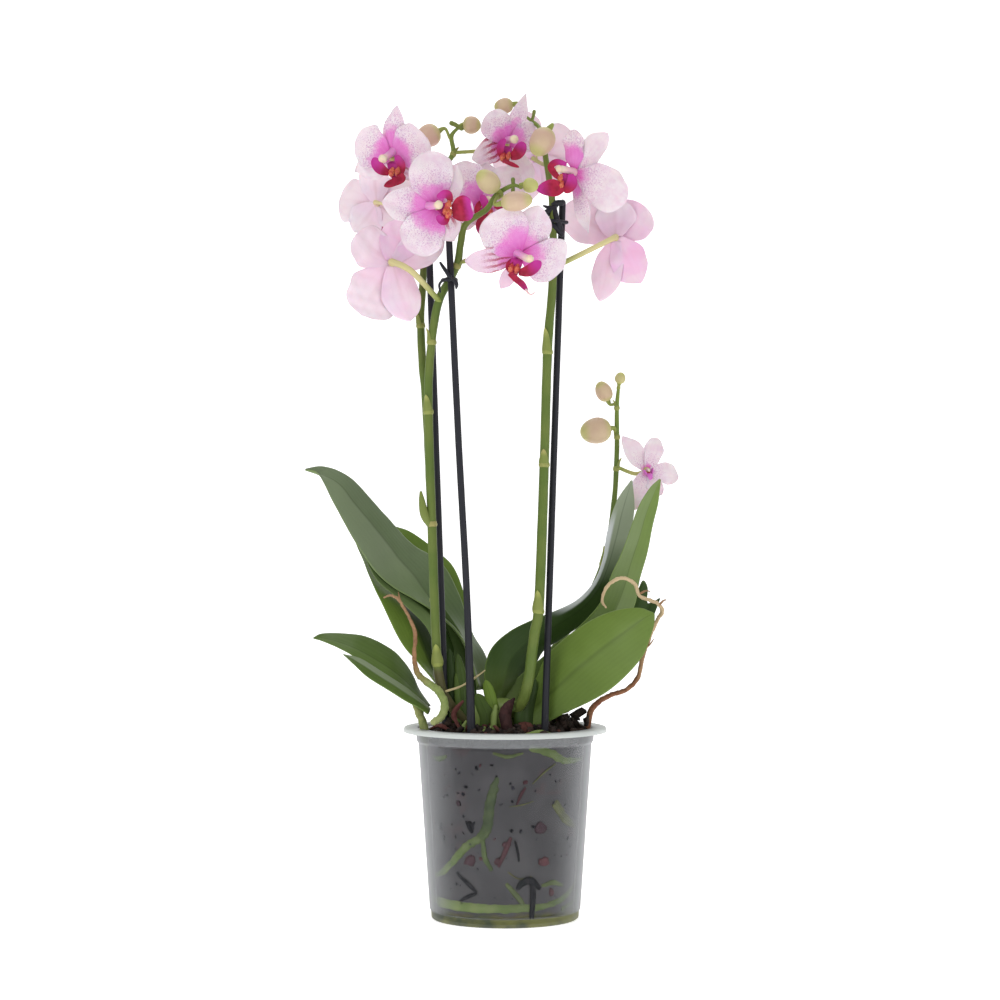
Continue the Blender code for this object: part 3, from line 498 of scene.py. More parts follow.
def stem_finish():
    """Spike green: paler and browner in places, with fine pale dots; marks turn it tan or lime."""
    made = Finish("stem", Specular_IOR_Level=0.2, Coat_Weight=0.05, Coat_Roughness=0.3)
    tan, lime, dark = made.parts(made.mark("tint"))
    cream, _, _ = made.parts(made.mark("trim"))
    spot = made.place()
    cloud = made.noise(spot, 40.0, 3.0)
    streak = made.noise(made.stretched(spot, 1200.0, 1200.0, 90.0), 1.0, 2.0)
    green = made.mix(cloud.eased(0.35, 0.65), (88, 112, 44), (108, 124, 56))
    green = made.mix(streak * 0.3, green, (124, 142, 76))
    green = made.mix(dark, green, (60, 66, 36))
    green = made.mix(lime, green, (176, 186, 96))
    green = made.mix(tan, green, (170, 146, 104))
    made.bump(streak * 0.6 + cloud * 0.4, 0.2, 0.0004)
    return made.done(made.mix(cream, green, (208, 196, 146)), streak * 0.15 + 0.38)


def root_finish():
    """Root skin: green to silver, or brown to rust where the marks say so, with fine wrinkles."""
    made = Finish("root", Specular_IOR_Level=0.3)
    brown, pale, veiled = made.parts(made.mark("tint"))
    spot = made.place()
    grain = made.noise(spot, 900.0, 3.0)
    cloud = made.noise(spot, 120.0, 2.0)
    green = made.mix(cloud.eased(0.3, 0.7), (128, 150, 84), (152, 166, 108))
    green = made.mix(grain * 0.4, green, (104, 128, 62))
    rust = made.mix(cloud.eased(0.3, 0.7), (124, 74, 52), (158, 112, 80))
    rust = made.mix(grain.eased(0.4, 0.8) * 0.6, rust, (92, 50, 38))
    colour = made.mix(brown, green, rust)
    colour = made.mix(pale, colour, (206, 184, 148))
    dull = made.mix(cloud.eased(0.35, 0.65), (60, 70, 54), (76, 88, 62))
    made.bump(grain + cloud * 0.5, 0.5, 0.0004)
    return made.done(made.mix(veiled, colour, dull), grain * 0.2 + 0.6)


def petal_finish():
    """Petals: an orchid-pink middle that breaks up into specks on a white rim, with faint veins;
    crimson stripes and a rosy tinge where the marks ask; the backs are smooth and pale."""
    made = Finish("petal", Subsurface_Weight=0.1, Subsurface_Scale=0.002, Specular_IOR_Level=0.2,
                  Sheen_Weight=0.1, Sheen_Roughness=0.5)
    across, along, side = made.parts(made.mark("place"))
    reach, stripes, rosy = made.parts(made.mark("tint"))
    flat = made.mark("flat")
    wobble = made.noise(flat, 0.24, 3.0)
    cloud = made.noise(flat, 0.09, 2.0)
    where = along + across * across * 0.16 + (wobble - 0.5) * 0.34 + (cloud - 0.5) * 0.2
    past = where - reach
    core = past.eased(0.08, -0.14)
    dots = made.cells(flat, 0.95)
    fine = made.cells(flat, 1.8)
    blots = (dots + past * 0.7).eased(0.52, 0.38) * past.eased(0.55, 0.3)
    specks = (fine + past * 0.4).eased(0.42, 0.3) * past.eased(0.7, 0.3)
    gaps = fine.eased(0.4, 0.24) * past.eased(-0.26, -0.03)
    veins = ((across * 17.0 + wobble * 5.0).sine() * 0.5 + 0.5) ** 3.0
    rim = made.mix(wobble.eased(0.35, 0.7), (222, 215, 219), (216, 198, 210))
    rim = made.mix(cloud.eased(0.4, 0.7) * 0.5, rim, (224, 221, 218))
    rim = made.mix(rosy, rim, (220, 182, 208))
    rim = made.mix(veins * 0.1, rim, (208, 170, 200))
    pink = made.mix(along.eased(0.04, 0.24), (206, 80, 168), (216, 128, 196))
    pink = made.mix(cloud.eased(0.3, 0.65) * 0.5, pink, (208, 96, 184))
    pink = made.mix(veins * 0.12, pink, (230, 160, 216))
    front = made.mix(blots * 0.6, rim, (184, 134, 182))
    front = made.mix(specks * 0.65, front, (186, 112, 170))
    front = made.mix(core, front, pink)
    front = made.mix(gaps * 0.8 * core, front, (226, 204, 220))
    bars = (across * 13.0 + wobble * 4.0).sine().eased(0.0, 0.6) * along.eased(0.78, 0.4)
    broken = fine.eased(0.25, 0.5) * 0.6 + 0.4
    front = made.mix(bars * broken * stripes, front, (164, 58, 86))
    back = made.mix(along.eased(0.75, 0.15), (232, 220, 227), (230, 204, 220))
    back = made.mix(veins * 0.08, back, (214, 182, 202))
    stripe = across.size().eased(0.2, 0.0) * along.eased(0.9, 0.3)
    back = made.mix(stripe * 0.3, back, (206, 174, 182))
    back = made.mix(rosy * (cloud.eased(0.3, 0.6) * 0.5 + 0.4), back, (232, 172, 216))
    made.bump(veins * 0.2 + wobble * 0.8, 0.15, 0.0006)
    return made.done(made.mix(side, back, front), wobble * 0.15 + 0.5)


def lip_finish():
    """Lip: crimson and magenta along its length as the marks say, lilac at some tips, with a fine
    velvet grain."""
    made = Finish("lip", Specular_IOR_Level=0.25, Sheen_Weight=0.1)
    _, along, _ = made.parts(made.mark("place"))
    start, pace, edge = made.parts(made.mark("tint"))
    grain = made.noise(made.place(), 700.0, 2.0)
    cloud = made.noise(made.place(), 260.0, 2.0)
    share = (along + cloud * 0.16 - 0.08 - start) * pace
    colour = made.mix(cloud.eased(0.35, 0.65), (142, 12, 48), (168, 24, 62))
    colour = made.mix(share.eased(0.0, 1.0), colour, (184, 46, 142))
    colour = made.mix(share.eased(1.3, 2.4), colour, (204, 108, 190))
    colour = made.mix(share.eased(1.2, 1.55) * edge, colour, (222, 200, 220))
    made.bump(grain, 0.2, 0.0003)
    return made.done(colour, grain * 0.2 + 0.42)


def column_finish():
    """Column and anther: pink going to cream at the cap, or orange with red specks on the
    callus."""
    made = Finish("column", Specular_IOR_Level=0.4, Subsurface_Weight=0.15, Subsurface_Scale=0.002)
    pinkness, orange, _ = made.parts(made.mark("tint"))
    grain = made.noise(made.place(), 500.0, 2.0)
    specks = made.cells(made.place(), 1100.0).eased(0.42, 0.25)
    cream = made.mix(grain, (228, 216, 192), (220, 200, 168))
    colour = made.mix(pinkness, cream, (214, 144, 196))
    blush = made.noise(made.place(), 330.0, 2.0).eased(0.4, 0.65)
    warm = made.mix(specks * 0.8, made.mix(blush, (204, 110, 76), (176, 48, 52)), (160, 44, 48))
    return made.done(made.mix(orange, colour, warm), grain * 0.2 + 0.35)


def bud_finish():
    """Buds: dusty pink and tan, lime towards both ends, with faint lengthwise streaks."""
    made = Finish("bud", Specular_IOR_Level=0.35, Coat_Weight=0.08)
    _, share, _ = made.parts(made.mark("place"))
    limeness, pinkness, _ = made.parts(made.mark("tint"))
    spot = made.place()
    cloud = made.noise(spot, 90.0, 2.0)
    grain = made.noise(spot, 700.0, 3.0)
    body = made.mix(cloud.eased(0.3, 0.7), (200, 178, 148), (194, 166, 146))
    body = made.mix(pinkness * cloud, body, (196, 150, 144))
    ends = share.eased(0.7, 0.96) + share.eased(0.34, 0.08) * 0.8
    body = made.mix(ends * 0.75, body, (180, 182, 104))
    body = made.mix(limeness, body, (176, 188, 96))
    made.bump(grain, 0.15, 0.0003)
    return made.done(made.mix(grain * 0.25, body, (172, 140, 112)), grain * 0.2 + 0.4)


def bark_finish(name, dark, mid, red, strong=0.6):
    """Bark: brown-black with fibres, some of it reddish where the marks say so."""
    made = Finish(name, Specular_IOR_Level=0.25)
    redness, lightness, _ = made.parts(made.mark("tint"))
    spot = made.place()
    fibre = made.noise(made.stretched(spot, 900.0, 300.0, 300.0), 1.0, 4.0, 0.6)
    crumbs = made.noise(spot, 260.0, 4.0, 0.6)
    colour = made.mix(crumbs.eased(0.35, 0.7), dark, mid)
    colour = made.mix(lightness, colour, scaled(mid, 1.7))
    colour = made.mix(redness * (fibre * 0.6 + 0.5), colour, red)
    made.bump(fibre + crumbs, strong, 0.001)
    return made.done(colour, fibre * 0.2 + 0.7)


def packed_bark_finish():
    """Bark pressed behind the frosted wall: soft lumps whose grey is painted haze, the light that
    the frosted wall scatters, rusty patches, a green foot, and dark on top."""
    made = Finish("packed_bark", Specular_IOR_Level=0.05)
    spot = made.place()
    _, _, height = made.parts(spot)
    blocks = made.cells(spot, 62.0, "Color")
    shade, patch, _ = made.parts(blocks)
    cloud = made.noise(spot, 38.0, 2.0)
    haze = made.noise(spot, 110.0, 2.0)
    # painted haze: this grey stands for light scattered in the frosted wall, not the bark's own
    # colour
    colour = made.mix(cloud.eased(0.3, 0.7) * 0.6 + haze * 0.3 + shade * 0.1,
                      (76, 75, 78), (95, 94, 96))
    colour = made.mix(patch.eased(0.85, 0.95) * haze.eased(0.4, 0.6) * 0.2, colour, (104, 78, 80))
    foot = (height + haze * 0.006).eased(0.012, 0.007)
    green = made.mix(made.noise(spot, 90.0, 3.0).eased(0.4, 0.62), (98, 106, 52), (134, 128, 58))
    colour = made.mix(height.eased(0.1046, 0.1054), colour, (38, 31, 29))
    made.bump(haze, 0.08, 0.001)
    return made.done(made.mix(foot * 0.85, colour, green), haze * 0.2 + 0.75)


def pot_finish():
    """Frosted clear plastic: clear seen square on, milky towards its edges and where the marks say
    so at the rim, and stained olive at the foot."""
    made = Finish("frosted_plastic", Specular_IOR_Level=0.4)
    milk, stain, white = made.parts(made.mark("tint"))
    spot = made.place()
    cloud = made.noise(spot, 45.0, 3.0)
    scuff = made.noise(made.stretched(spot, 500.0, 500.0, 60.0), 1.0, 3.0)
    slant = made.node("ShaderNodeLayerWeight", {}, {"Blend": 0.5}, output=1)
    veil = slant.eased(0.12, 1.05) * 0.9
    made.feed("Alpha", made.node("ShaderNodeMath", {"operation": "MAXIMUM"}, {0: veil, 1: milk}))
    colour = made.mix(cloud, (138, 140, 143), (150, 152, 154))
    colour = made.mix(white, colour, (204, 209, 206))
    olive = made.mix(made.noise(spot, 70.0, 4.0).eased(0.38, 0.62), (44, 54, 22), (98, 100, 40))
    made.bump(scuff, 0.08, 0.0003)
    return made.done(made.mix(stain, colour, olive), scuff * 0.15 + 0.38)


def stake_finish():
    """Dull black plastic with fine drawn lines."""
    made = Finish("black_plastic", Specular_IOR_Level=0.3)
    spot = made.place()
    lines = made.noise(made.stretched(spot, 900.0, 900.0, 40.0), 1.0, 3.0)
    made.bump(lines, 0.15, 0.0003)
    return made.done(made.mix(lines, (24, 25, 32), (36, 37, 45)), lines * 0.2 + 0.35)


STEM = stem_finish()
ROOT = root_finish()
PETAL = petal_finish()
COLUMN = column_finish()
BUD = bud_finish()
STAKE = stake_finish()
POT = pot_finish()
PACKED = packed_bark_finish()
CHIPS = bark_finish("bark", (26, 21, 20), (56, 44, 38), (104, 56, 48))
SEEN_CHIPS = bark_finish("pressed_chips", (18, 19, 24), (38, 38, 43), (108, 70, 74), 0.1)
HUSK = bark_finish("husk", (36, 22, 23), (62, 38, 38), (112, 66, 60))
# the long leaf's greyer green is partly its own colour and partly a painted sheen
LEAF_GREY_SHEEN = leaf_finish("leaf_grey_green_sheen", (92, 108, 76), (80, 98, 62), (110, 128, 80), 0.34)
LEAF_DARK = leaf_finish("leaf_dark", (58, 80, 34), (46, 68, 24), (96, 116, 66))
LEAF_MID = leaf_finish("leaf_mid", (92, 114, 58), (78, 100, 44), (112, 134, 78))
LEAF_BRIGHT = leaf_finish("leaf_bright", (104, 126, 60), (94, 116, 50), (116, 138, 80))


# ---------------------------------------------------------------- stakes and spikes

STAKES = {
    "stake_left_back": [(-35, -13, 22), (-35.5, -13, 120), (-41.5, -10.5, 300), (-45, -10, 402)],
    "stake_left_front": [(-16.5, -33.5, 22), (-19.4, -33, 106), (-22.2, -32, 190),
                         (-27.3, -30.5, 285), (-33, -27.5, 405)],
    "stake_right": [(20, -29, 22), (23.5, -23, 122), (29, -13.5, 282), (34, -5, 424)],
}
for name, path in STAKES.items():
    thick = [2.6, 2.55, 2.05, 2.0, 1.95] if name == "stake_left_front" else [2.3, 2.1, 2.0, 2.0]
    stake = rod(path, thick, 16, 60, rough=0.05, grain=30, dome=(0, 1))
    show(name + "_rod", stake, [STAKE], [name])

SPIKES = {
    "spike_front_left": (
        [(-25, -13, 119), (-33, -19, 129), (-38, -21, 141), (-40.5, -22, 166), (-43, -22, 236),
         (-45, -22, 307), (-43, -22, 341), (-39, -23, 364), (-33, -23, 376), (-28, -25, 386),
         (-26, -26, 398), (-23, -28, 409), (-11, -34, 417), (-5, -39, 425), (4, -42, 430),
         (9, -43, 429)],
        [2.9, 2.8, 2.8, 2.8, 2.7, 2.6, 2.5, 2.5, 2.4, 2.2, 2.1, 1.9, 1.7, 1.5, 1.2, 0.9]),
    "spike_back_left": (
        [(-30, -4, 124), (-36, -5, 134), (-40, -5.5, 147), (-42, -6, 189), (-44, -6, 248),
         (-47, -5, 307), (-49, -4, 330), (-50, -4, 355), (-49, -4, 372), (-47, -3, 396),
         (-41, 4, 427), (-35, 11, 448), (-31, 14, 456), (-32, 14, 466), (-27, 14, 472)],
        [2.6, 2.5, 2.5, 2.5, 2.5, 2.4, 2.4, 2.3, 2.2, 2.0, 1.8, 1.6, 1.5, 1.3, 0.9]),
    "spike_right": (
        [(6, -12, 122), (11, -20, 132), (14, -25, 145), (17, -26.5, 169), (20, -25.5, 190),
         (23, -20.5, 271), (25, -16.5, 336), (28, -14, 378), (28, -11.5, 419), (26, -9, 438),
         (24, -6, 451), (23, 1, 464), (20, 9, 471), (15, 15, 476), (11, 17, 479)],
        [3.2, 3.2, 3.2, 3.1, 3.0, 2.8, 2.7, 2.4, 2.1, 1.9, 1.7, 1.4, 1.2, 1.0, 0.8]),
    "spike_young": (
        [(2, 12, 117), (20, 27, 146), (45, 42, 178), (60, 43, 210), (66, 40, 243), (68, 38, 277),
         (68, 38, 303), (69, 38, 316)],
        [2.0, 2.0, 1.9, 1.8, 1.7, 1.5, 1.3, 0.9]),
}

# Sheathed joints up each spike: (height, direction the scale points, its length, its width, tan,
# how far its tip stands off)
JOINTS = {
    "spike_front_left": [
        (152.5, (0.0, -1, 0), 11, 3.6, 0.0, 1.0), (235.5, (-1, -0.2, 0), 7, 2.6, 1.0, 1.2),
        (300, (-0.3, -0.9, 0), 9, 2.8, 0.2, 1.6), (341, (-0.9, -0.3, 0), 7, 2.4, 0.4, 1.6),
        (386, (0.9, -0.2, 0), 5, 2.0, 0.6, 1.6)],
    "spike_back_left": [
        (190, (0.8, -0.6, 0), 13, 2.8, 0.2, 1.6), (352, (-0.8, -0.5, 0), 8, 2.6, 0.3, 1.6),
        (427, (-0.8, -0.5, 0), 5, 2.0, 0.3, 1.6), (456, (0.9, -0.2, 0), 4, 1.8, 0.4, 1.6)],
    "spike_right": [
        (184, (-0.4, -0.9, 0), 11, 3.6, 0.1, 1.0), (270, (-0.2, -1, 0), 8, 3.0, 0.5, 1.0),
        (336, (-0.5, -0.8, 0), 13, 3.2, 0.2, 1.6), (384, (0.9, -0.3, 0), 6, 2.6, 0.4, 1.6),
        (430, (0.9, 0.2, 0), 5, 2.2, 0.4, 1.6), (464, (-0.7, 0.2, 0.3), 4, 1.6, 0.4, 1.6)],
    "spike_young": [
        (210, (-0.8, -0.5, 0), 10, 2.2, 0.2, 1.6), (268, (0.9, -0.4, 0), 6, 1.8, 0.3, 1.6),
        (287, (-0.9, -0.3, 0), 5, 1.6, 0.3, 1.6), (305, (-0.9, -0.3, 0), 4, 1.5, 0.3, 1.6)],
}
# Height under which a spike's skin is an old dark sheath
OLD_SHEATHS = {"spike_front_left": 151, "spike_back_left": 150, "spike_right": 118,
               "spike_young": 150}


def at_height(path, height, radii=None):
    """The point of a spike at a height, the way it runs there, and its radius."""
    share = np.linspace(0, 1, 400)
    line = rounded(path, share)
    row = int(np.argmin(abs(line[:, 2] - height)))
    radius = rounded(radii, share)[row, 0] if radii is not None else 0.0
    return line[row], unit(np.gradient(line, axis=0))[row], radius


def scale_leaf(point, along, radius, way, length, width, tan, off, seed):
    """A small sheath that wraps a joint of the stem and ends in a point standing a little off."""
    way = np.asarray(way, float)
    way = unit(way - along * (way @ along))
    side = np.cross(along, way)
    path = [point - along * 2.0 + way * radius * 0.9, point + way * (radius + 0.25) + along * 1.0,
            point + along * length * 0.5 + way * (radius + 0.5),
            point + along * length * 0.85 + way * (radius + 0.3 + 0.65 * off),
            point + along * length + way * (radius + off)]
    leaf = blade(path, [side], width, "point", 0.7, 18, 10, cup=-0.55, facing=way, seed=seed)
    share = leaf.marks["place"][:, 1]
    rise = eased(share, 0.55, 1.0)
    leaf.marks["tint"] = triples(tan * rise + 0.1, 0.15 + 0.5 * rise, 0.15 * (1 - rise))
    collar = rod([point - along * 2.6, point - along * 1.2, point + along * 0.6],
                 [radius + 0.05, radius + 0.55, radius + 0.1], 14, 8, dome=(0, 0))
    return [leaf, collar.tinted(0.1 + 0.4 * tan, 0.3, 0)]


# Fat green bracts and stumps that stand off the spikes: the spike, path, radii
STUMPS = [
    ("spike_front_left", [(-44.5, -23, 234), (-47, -23.5, 239), (-48.5, -24, 246),
                          (-49.3, -24, 252.5)],
     [2.0, 2.6, 2.1, 0.8]),
    ("spike_front_left", [(4.5, -42, 427), (4.6, -42, 430.5), (4.5, -42, 433.5)], [1.2, 1.1, 1.3]),
    ("spike_back_left", [(-26, 14, 470.5), (-29.5, 13, 472.5), (-32, 12.5, 473.5)],
     [1.4, 1.3, 1.5]),
    ("spike_right", [(16, 14, 475), (17, 13.5, 478), (17.5, 13, 480.5)], [1.1, 1.0, 1.2]),
]

for name, (path, radii) in SPIKES.items():
    stem = rod(path, radii, 16, 150, rough=0.12, grain=14, seed=len(name))
    lift = eased(stem.marks["place"][:, 1], 0.75, 1.0)
    old = eased(-stem.points[:, 2], -OLD_SHEATHS[name], 4 - OLD_SHEATHS[name])
    stem.marks["tint"] = triples(0.12 * old, 0.12 * lift, np.maximum(0.25 * (1 - lift), old))
    parts = [stem]
    for k, (height, way, length, width, tan, off) in enumerate(JOINTS[name]):
        point, along, radius = at_height(path, height, radii)
        parts += scale_leaf(point, along, radius, way, length, width, tan, off, k)
    parts += [rod(p, r, 12, 20, rough=0.1).tinted(0.05, 0.1, 0.2)
              for owner, p, r in STUMPS if owner == name]
    show(name + "_stem", joined(parts), [STEM], [name])


# ---------------------------------------------------------------- leaves

# Each leaf: its finish, the curves of its left edge, its middle rib and its right edge from base to
# tip, and what its left and right halves carry: (painted grey sheen, gold, painted shade)
LEAVES = {
    "leaf_left_long": (LEAF_GREY_SHEEN, dict(
        left=[(-16, -2, 137.5), (-21, 2, 156), (-27, 5, 168), (-36, 8, 177), (-44, 9, 183),
              (-61.5, 10, 192.5), (-76, 10, 204), (-88, 8, 221), (-101.5, 6, 245), (-111, 6, 263.5),
              (-120.5, 7, 266.5)],
        rib=[(-14.5, 2, 136), (-22, 10, 158.5), (-32, 18, 173.5), (-44, 22, 186.5), (-54, 24, 201),
             (-63.5, 24, 212), (-72, 22, 223.5), (-90, 17, 245), (-101.5, 12, 259),
             (-120.5, 7, 266.5)],
        right=[(-9, 8, 134.5), (-11, 20, 152), (-20, 30, 168), (-28.5, 38, 192), (-39.5, 40, 210.5),
               (-56.5, 38, 221.5), (-72.5, 32, 239), (-92, 22, 260.5), (-108, 14, 268),
               (-120.5, 7, 266.5)]),
        [(0, 0, 0.4), (0, 0.1, 0.3), (0.1, 0.15, 0.05), (0.45, 0.1, 0), (0.4, 0.1, 0),
         (0.4, 0.1, 0)],
        [(0, 0, 0.3), (0, 0, 0.2), (0, 0, 0.05), (0.1, 0, 0), (0.2, 0, 0), (0.3, 0, 0)]),
    "leaf_left_low": (LEAF_BRIGHT, dict(
        left=[(-40.5, 4, 138.5), (-53, 8, 152), (-63, 10, 164.5), (-75, 14, 188), (-83, 18, 207),
              (-90.5, 24, 223.5), (-99, 31, 239)],
        rib=[(-37, 8, 134.5), (-45, 14, 147.5), (-50.5, 18, 161), (-56, 21, 174.5),
             (-64.5, 24, 186), (-75.5, 27, 198.5), (-86.5, 30, 216.5), (-99, 31, 239)],
        right=[(-33, 14, 134), (-35.5, 26, 150.5), (-39.5, 34, 163), (-48.5, 38, 178),
               (-64, 40, 194.5), (-82, 36, 216.5), (-99, 31, 239)]),
        [(0, 0.3, 0.1), (0, 0.5, 0), (0.05, 0.55, 0), (0, 0.5, 0.1)], (0, 0, 0.8)),
    "leaf_left_strip": (LEAF_MID, dict(
        left=[(-35, 0, 125.5), (-39.5, 4, 144), (-42.5, 8, 160.5), (-48, 9, 173.5), (-63, 11, 188),
              (-77, 12, 200.5), (-85.5, 14, 217)],
        rib=[(-30.5, 3, 125.5), (-36, 8, 161.5), (-43.5, 12, 177.5), (-54, 14, 187), (-64, 14, 193),
             (-76, 14, 202), (-85.5, 14, 217)],
        right=[(-25.5, 6, 125), (-29.5, 10, 155.5), (-37.5, 14, 175), (-48, 16, 187),
               (-63, 16, 197), (-78, 15, 209.5), (-85.5, 14, 217)],
        thickness=1.4, wave=0.2), (0.15, 0, 0), (0, 0, 0.9)),
    "leaf_left_back": (LEAF_DARK, dict(
        left=[(-21, 10, 134.5), (-32, 20, 159), (-42.5, 30, 178.5), (-54.5, 38, 196.5),
              (-67, 48, 217.5), (-77, 60, 234.5)],
        rib=[(-18, 13, 134.5), (-26, 26, 160.5), (-33.5, 38, 184), (-44.5, 47, 202),
             (-59.5, 56, 220.5), (-77, 60, 234.5)],
        right=[(-14.5, 18, 134), (-20, 32, 160), (-23.5, 44, 184), (-27, 49, 197), (-32, 53, 207.5),
               (-38.5, 56, 214), (-48, 59, 221.5), (-58.5, 61, 228.5), (-67, 62, 231.5),
               (-77, 60, 234.5)]), (0, 0, 0.4), (0, 0.5, 0)),
    "leaf_left_inner": (LEAF_MID, dict(
        left=[(-25.5, -8, 115.5), (-32.5, -4, 129.5), (-38, 4, 147), (-40, 10, 164.5),
              (-39, 16, 187)],
        rib=[(-22, -9, 115.5), (-25, -3, 129.5), (-29, 6, 146.5), (-33.5, 13, 167), (-39, 16, 187)],
        right=[(-16, -8, 115.5), (-16.5, -1, 129.5), (-19, 7, 146.5), (-25, 14, 165.5),
               (-39, 16, 187)],
        wave=0.3), (0, 0, 0.85), (0, 0, 0.65)),
    "leaf_short_upper": (LEAF_MID, dict(
        left=[(-48.5, -9, 125), (-56, -15, 134), (-66, -24, 142), (-79, -31, 150.5),
              (-92, -34, 159), (-104.5, -33, 165), (-112.5, -30, 167.5)],
        rib=[(-47, -5, 126), (-55, -9, 136.5), (-63.5, -17, 145), (-76, -25, 154.5),
             (-90.5, -29, 162), (-103, -31, 166.5), (-112.5, -30, 167.5)],
        right=[(-44.5, 0, 125.5), (-50.5, 0, 134), (-54.5, -1, 143.5), (-60.5, -4, 153),
               (-69, -9, 161), (-82.5, -16, 167.5), (-96.5, -23, 170), (-107, -28, 170),
               (-112.5, -30, 167.5)]), (0.05, 0.08, 0.05), (0, 0.05, 0.2)),
    "leaf_short_lower": (LEAF_MID, dict(
        left=[(-45, -22, 122.5), (-51, -26, 127), (-59.5, -33, 132), (-69.5, -41, 139),
              (-80.5, -46, 146.5), (-88, -47, 153.5), (-94, -44, 159)],
        rib=[(-44.5, -18, 124), (-54.5, -25, 132), (-64, -33, 139), (-75.5, -40, 147),
             (-85, -43, 153.5), (-94, -44, 159)],
        right=[(-44, -14, 125.5), (-53, -21, 134), (-61.5, -27, 141), (-73, -34, 149),
               (-84, -40, 156), (-94, -44, 159)]), (0, 0.05, 0.15), (0.55, 0, 0)),
    "leaf_right_curved": (LEAF_DARK, dict(
        left=[(-5, -3, 127), (-11.5, -4, 138.5), (-12, -2, 148.5), (-8, 4, 160), (2, 10, 169),
              (15, 14, 175.5), (30, 17, 181.5), (43.5, 19, 188), (53, 21, 198.5), (59, 22, 213),
              (62, 22, 230), (67, 21, 247), (76.5, 20, 261)],
        rib=[(-3, 2, 127.5), (0, 2, 141), (4, 7, 152.5), (12, 13, 161), (24, 18, 168.5),
             (36, 21, 176), (47, 23, 183.5), (56, 25, 195), (62, 26, 209), (66.5, 26, 224),
             (70.5, 24, 241), (76.5, 20, 261)],
        right=[(-0.5, 8, 127.5), (9, 13, 136.5), (17, 17, 147), (24, 20, 158), (33, 22, 163.5),
               (43.5, 24, 171), (54.5, 26, 179), (63, 28, 191), (69.5, 29, 207), (75, 29, 224),
               (78, 25, 243), (76.5, 20, 261)], rows=110, crease=1.7),
        [(0, 0.1, 0), (0, 0, 0.2), (0, 0, 0.5), (0, 0, 0.5), (1.1, 0, 0), (1.5, 0.1, 0)],
        [(0, 0, 0.7), (0, 0, 0.6), (0, 0, 0.6), (0, 0, 0.6), (1.1, 0, 0), (1.5, 0.1, 0)]),
    "leaf_right_upright": (LEAF_BRIGHT, dict(
        left=[(-5, 5, 127.5), (6, 8, 140.5), (24, 10, 155.5), (42, 10, 170.5), (55.5, 11, 184.5),
              (60.5, 12, 194), (64.5, 12, 205), (70, 12, 217), (75.5, 11, 232), (80, 9, 245),
              (86, 7, 255), (93, 6, 261.5)],
        rib=[(4, 2, 123), (24, 8, 139.5), (48, 12, 159.5), (63, 16, 177), (70.5, 18, 193),
             (75, 18, 209), (80, 17, 224), (84, 14, 239), (88.5, 10, 251), (93, 6, 261.5)],
        right=[(15, 2, 119.5), (33, 8, 130.5), (57, 13, 151), (70, 16, 169), (78, 18, 185),
               (81, 19, 200), (85.5, 18, 216), (88.5, 15, 232), (91.5, 12, 245), (92.5, 8, 254),
               (93, 6, 261.5)], rows=90),
        [(0, 0, 0.7), (0, 0, 0.6), (0, 0, 0.45), (0.3, 0, 0), (0.2, 0.1, 0)],
        [(0, 0, 0.6), (0, 0, 0.3), (0.3, 0, 0), (0.1, 0.2, 0), (0.05, 0.2, 0)]),
    "leaf_right_broad": (LEAF_BRIGHT, dict(
        left=[(0, -4, 115.5), (4.5, -4, 125.5), (12.5, -4, 131.5), (17.5, -5, 140),
              (23.5, -6, 153.5), (32.5, -8, 164), (44, -11, 173), (57, -15, 180.5),
              (68.5, -19, 184), (79, -23, 184.5), (84.5, -26, 183), (87.5, -27, 182)],
        rib=[(6, -10, 114), (14.5, -12, 122.5), (26.5, -16, 133.5), (41, -20, 147),
             (55.5, -24, 159.5), (68.5, -27, 169.5), (80, -28, 178), (87.5, -27, 182)],
        right=[(10, -14, 113), (23.5, -18, 117), (35, -21, 123), (49.5, -25, 130), (61, -28, 137),
               (71.5, -30, 146.5), (80.5, -31, 157.5), (84.5, -30, 167.5), (87, -28, 175.5),
               (87.5, -27, 182)]),
        [(0, 0.1, 0.5), (0, 0.1, 0.2), (0, 0.2, 0.1), (0, 0.25, 0.05), (0, 0.1, 0)],
        [(0, 0, 0.5), (0, 0.1, 0.2), (0, 0.05, 0.12), (0.05, 0.05, 0.1), (0, 0, 0.1)]),
    "leaf_right_low": (LEAF_DARK, dict(
        left=[(6, 6, 115.5), (27, 14, 133), (54.5, 24, 157.5), (72.5, 30, 178.5), (79.5, 32, 191),
              (83.5, 33, 199.5), (86.5, 34, 194.5), (85.5, 34, 186), (89, 34, 186),
              (94.5, 34, 189)],
        rib=[(9, 4, 114), (33, 12, 128.5), (57, 22, 148.5), (75.5, 28, 168.5), (86.5, 32, 181.5),
             (94.5, 34, 189)],
        right=[(12.5, 3, 113), (39, 10, 125), (63, 18, 141), (80.5, 26, 160.5), (89, 31, 175.5),
               (94.5, 34, 189)], wave=0.2), (0, 0, 0.35), (0, 0, 0.5)),
}
# How far along a leaf's left edge a painted silvery sheen runs: (where that starts, where it ends)
PAINTED_SHEEN_EDGES = {"leaf_right_curved": (0.42, 0.9)}


def staged(values, share):
    """Triples given at even steps from base to tip, read along the leaf."""
    values = np.atleast_2d(np.array(values, float))
    steps = np.linspace(0, 1, len(values))
    return np.stack([np.interp(share, steps, column) for column in values.T], axis=1)


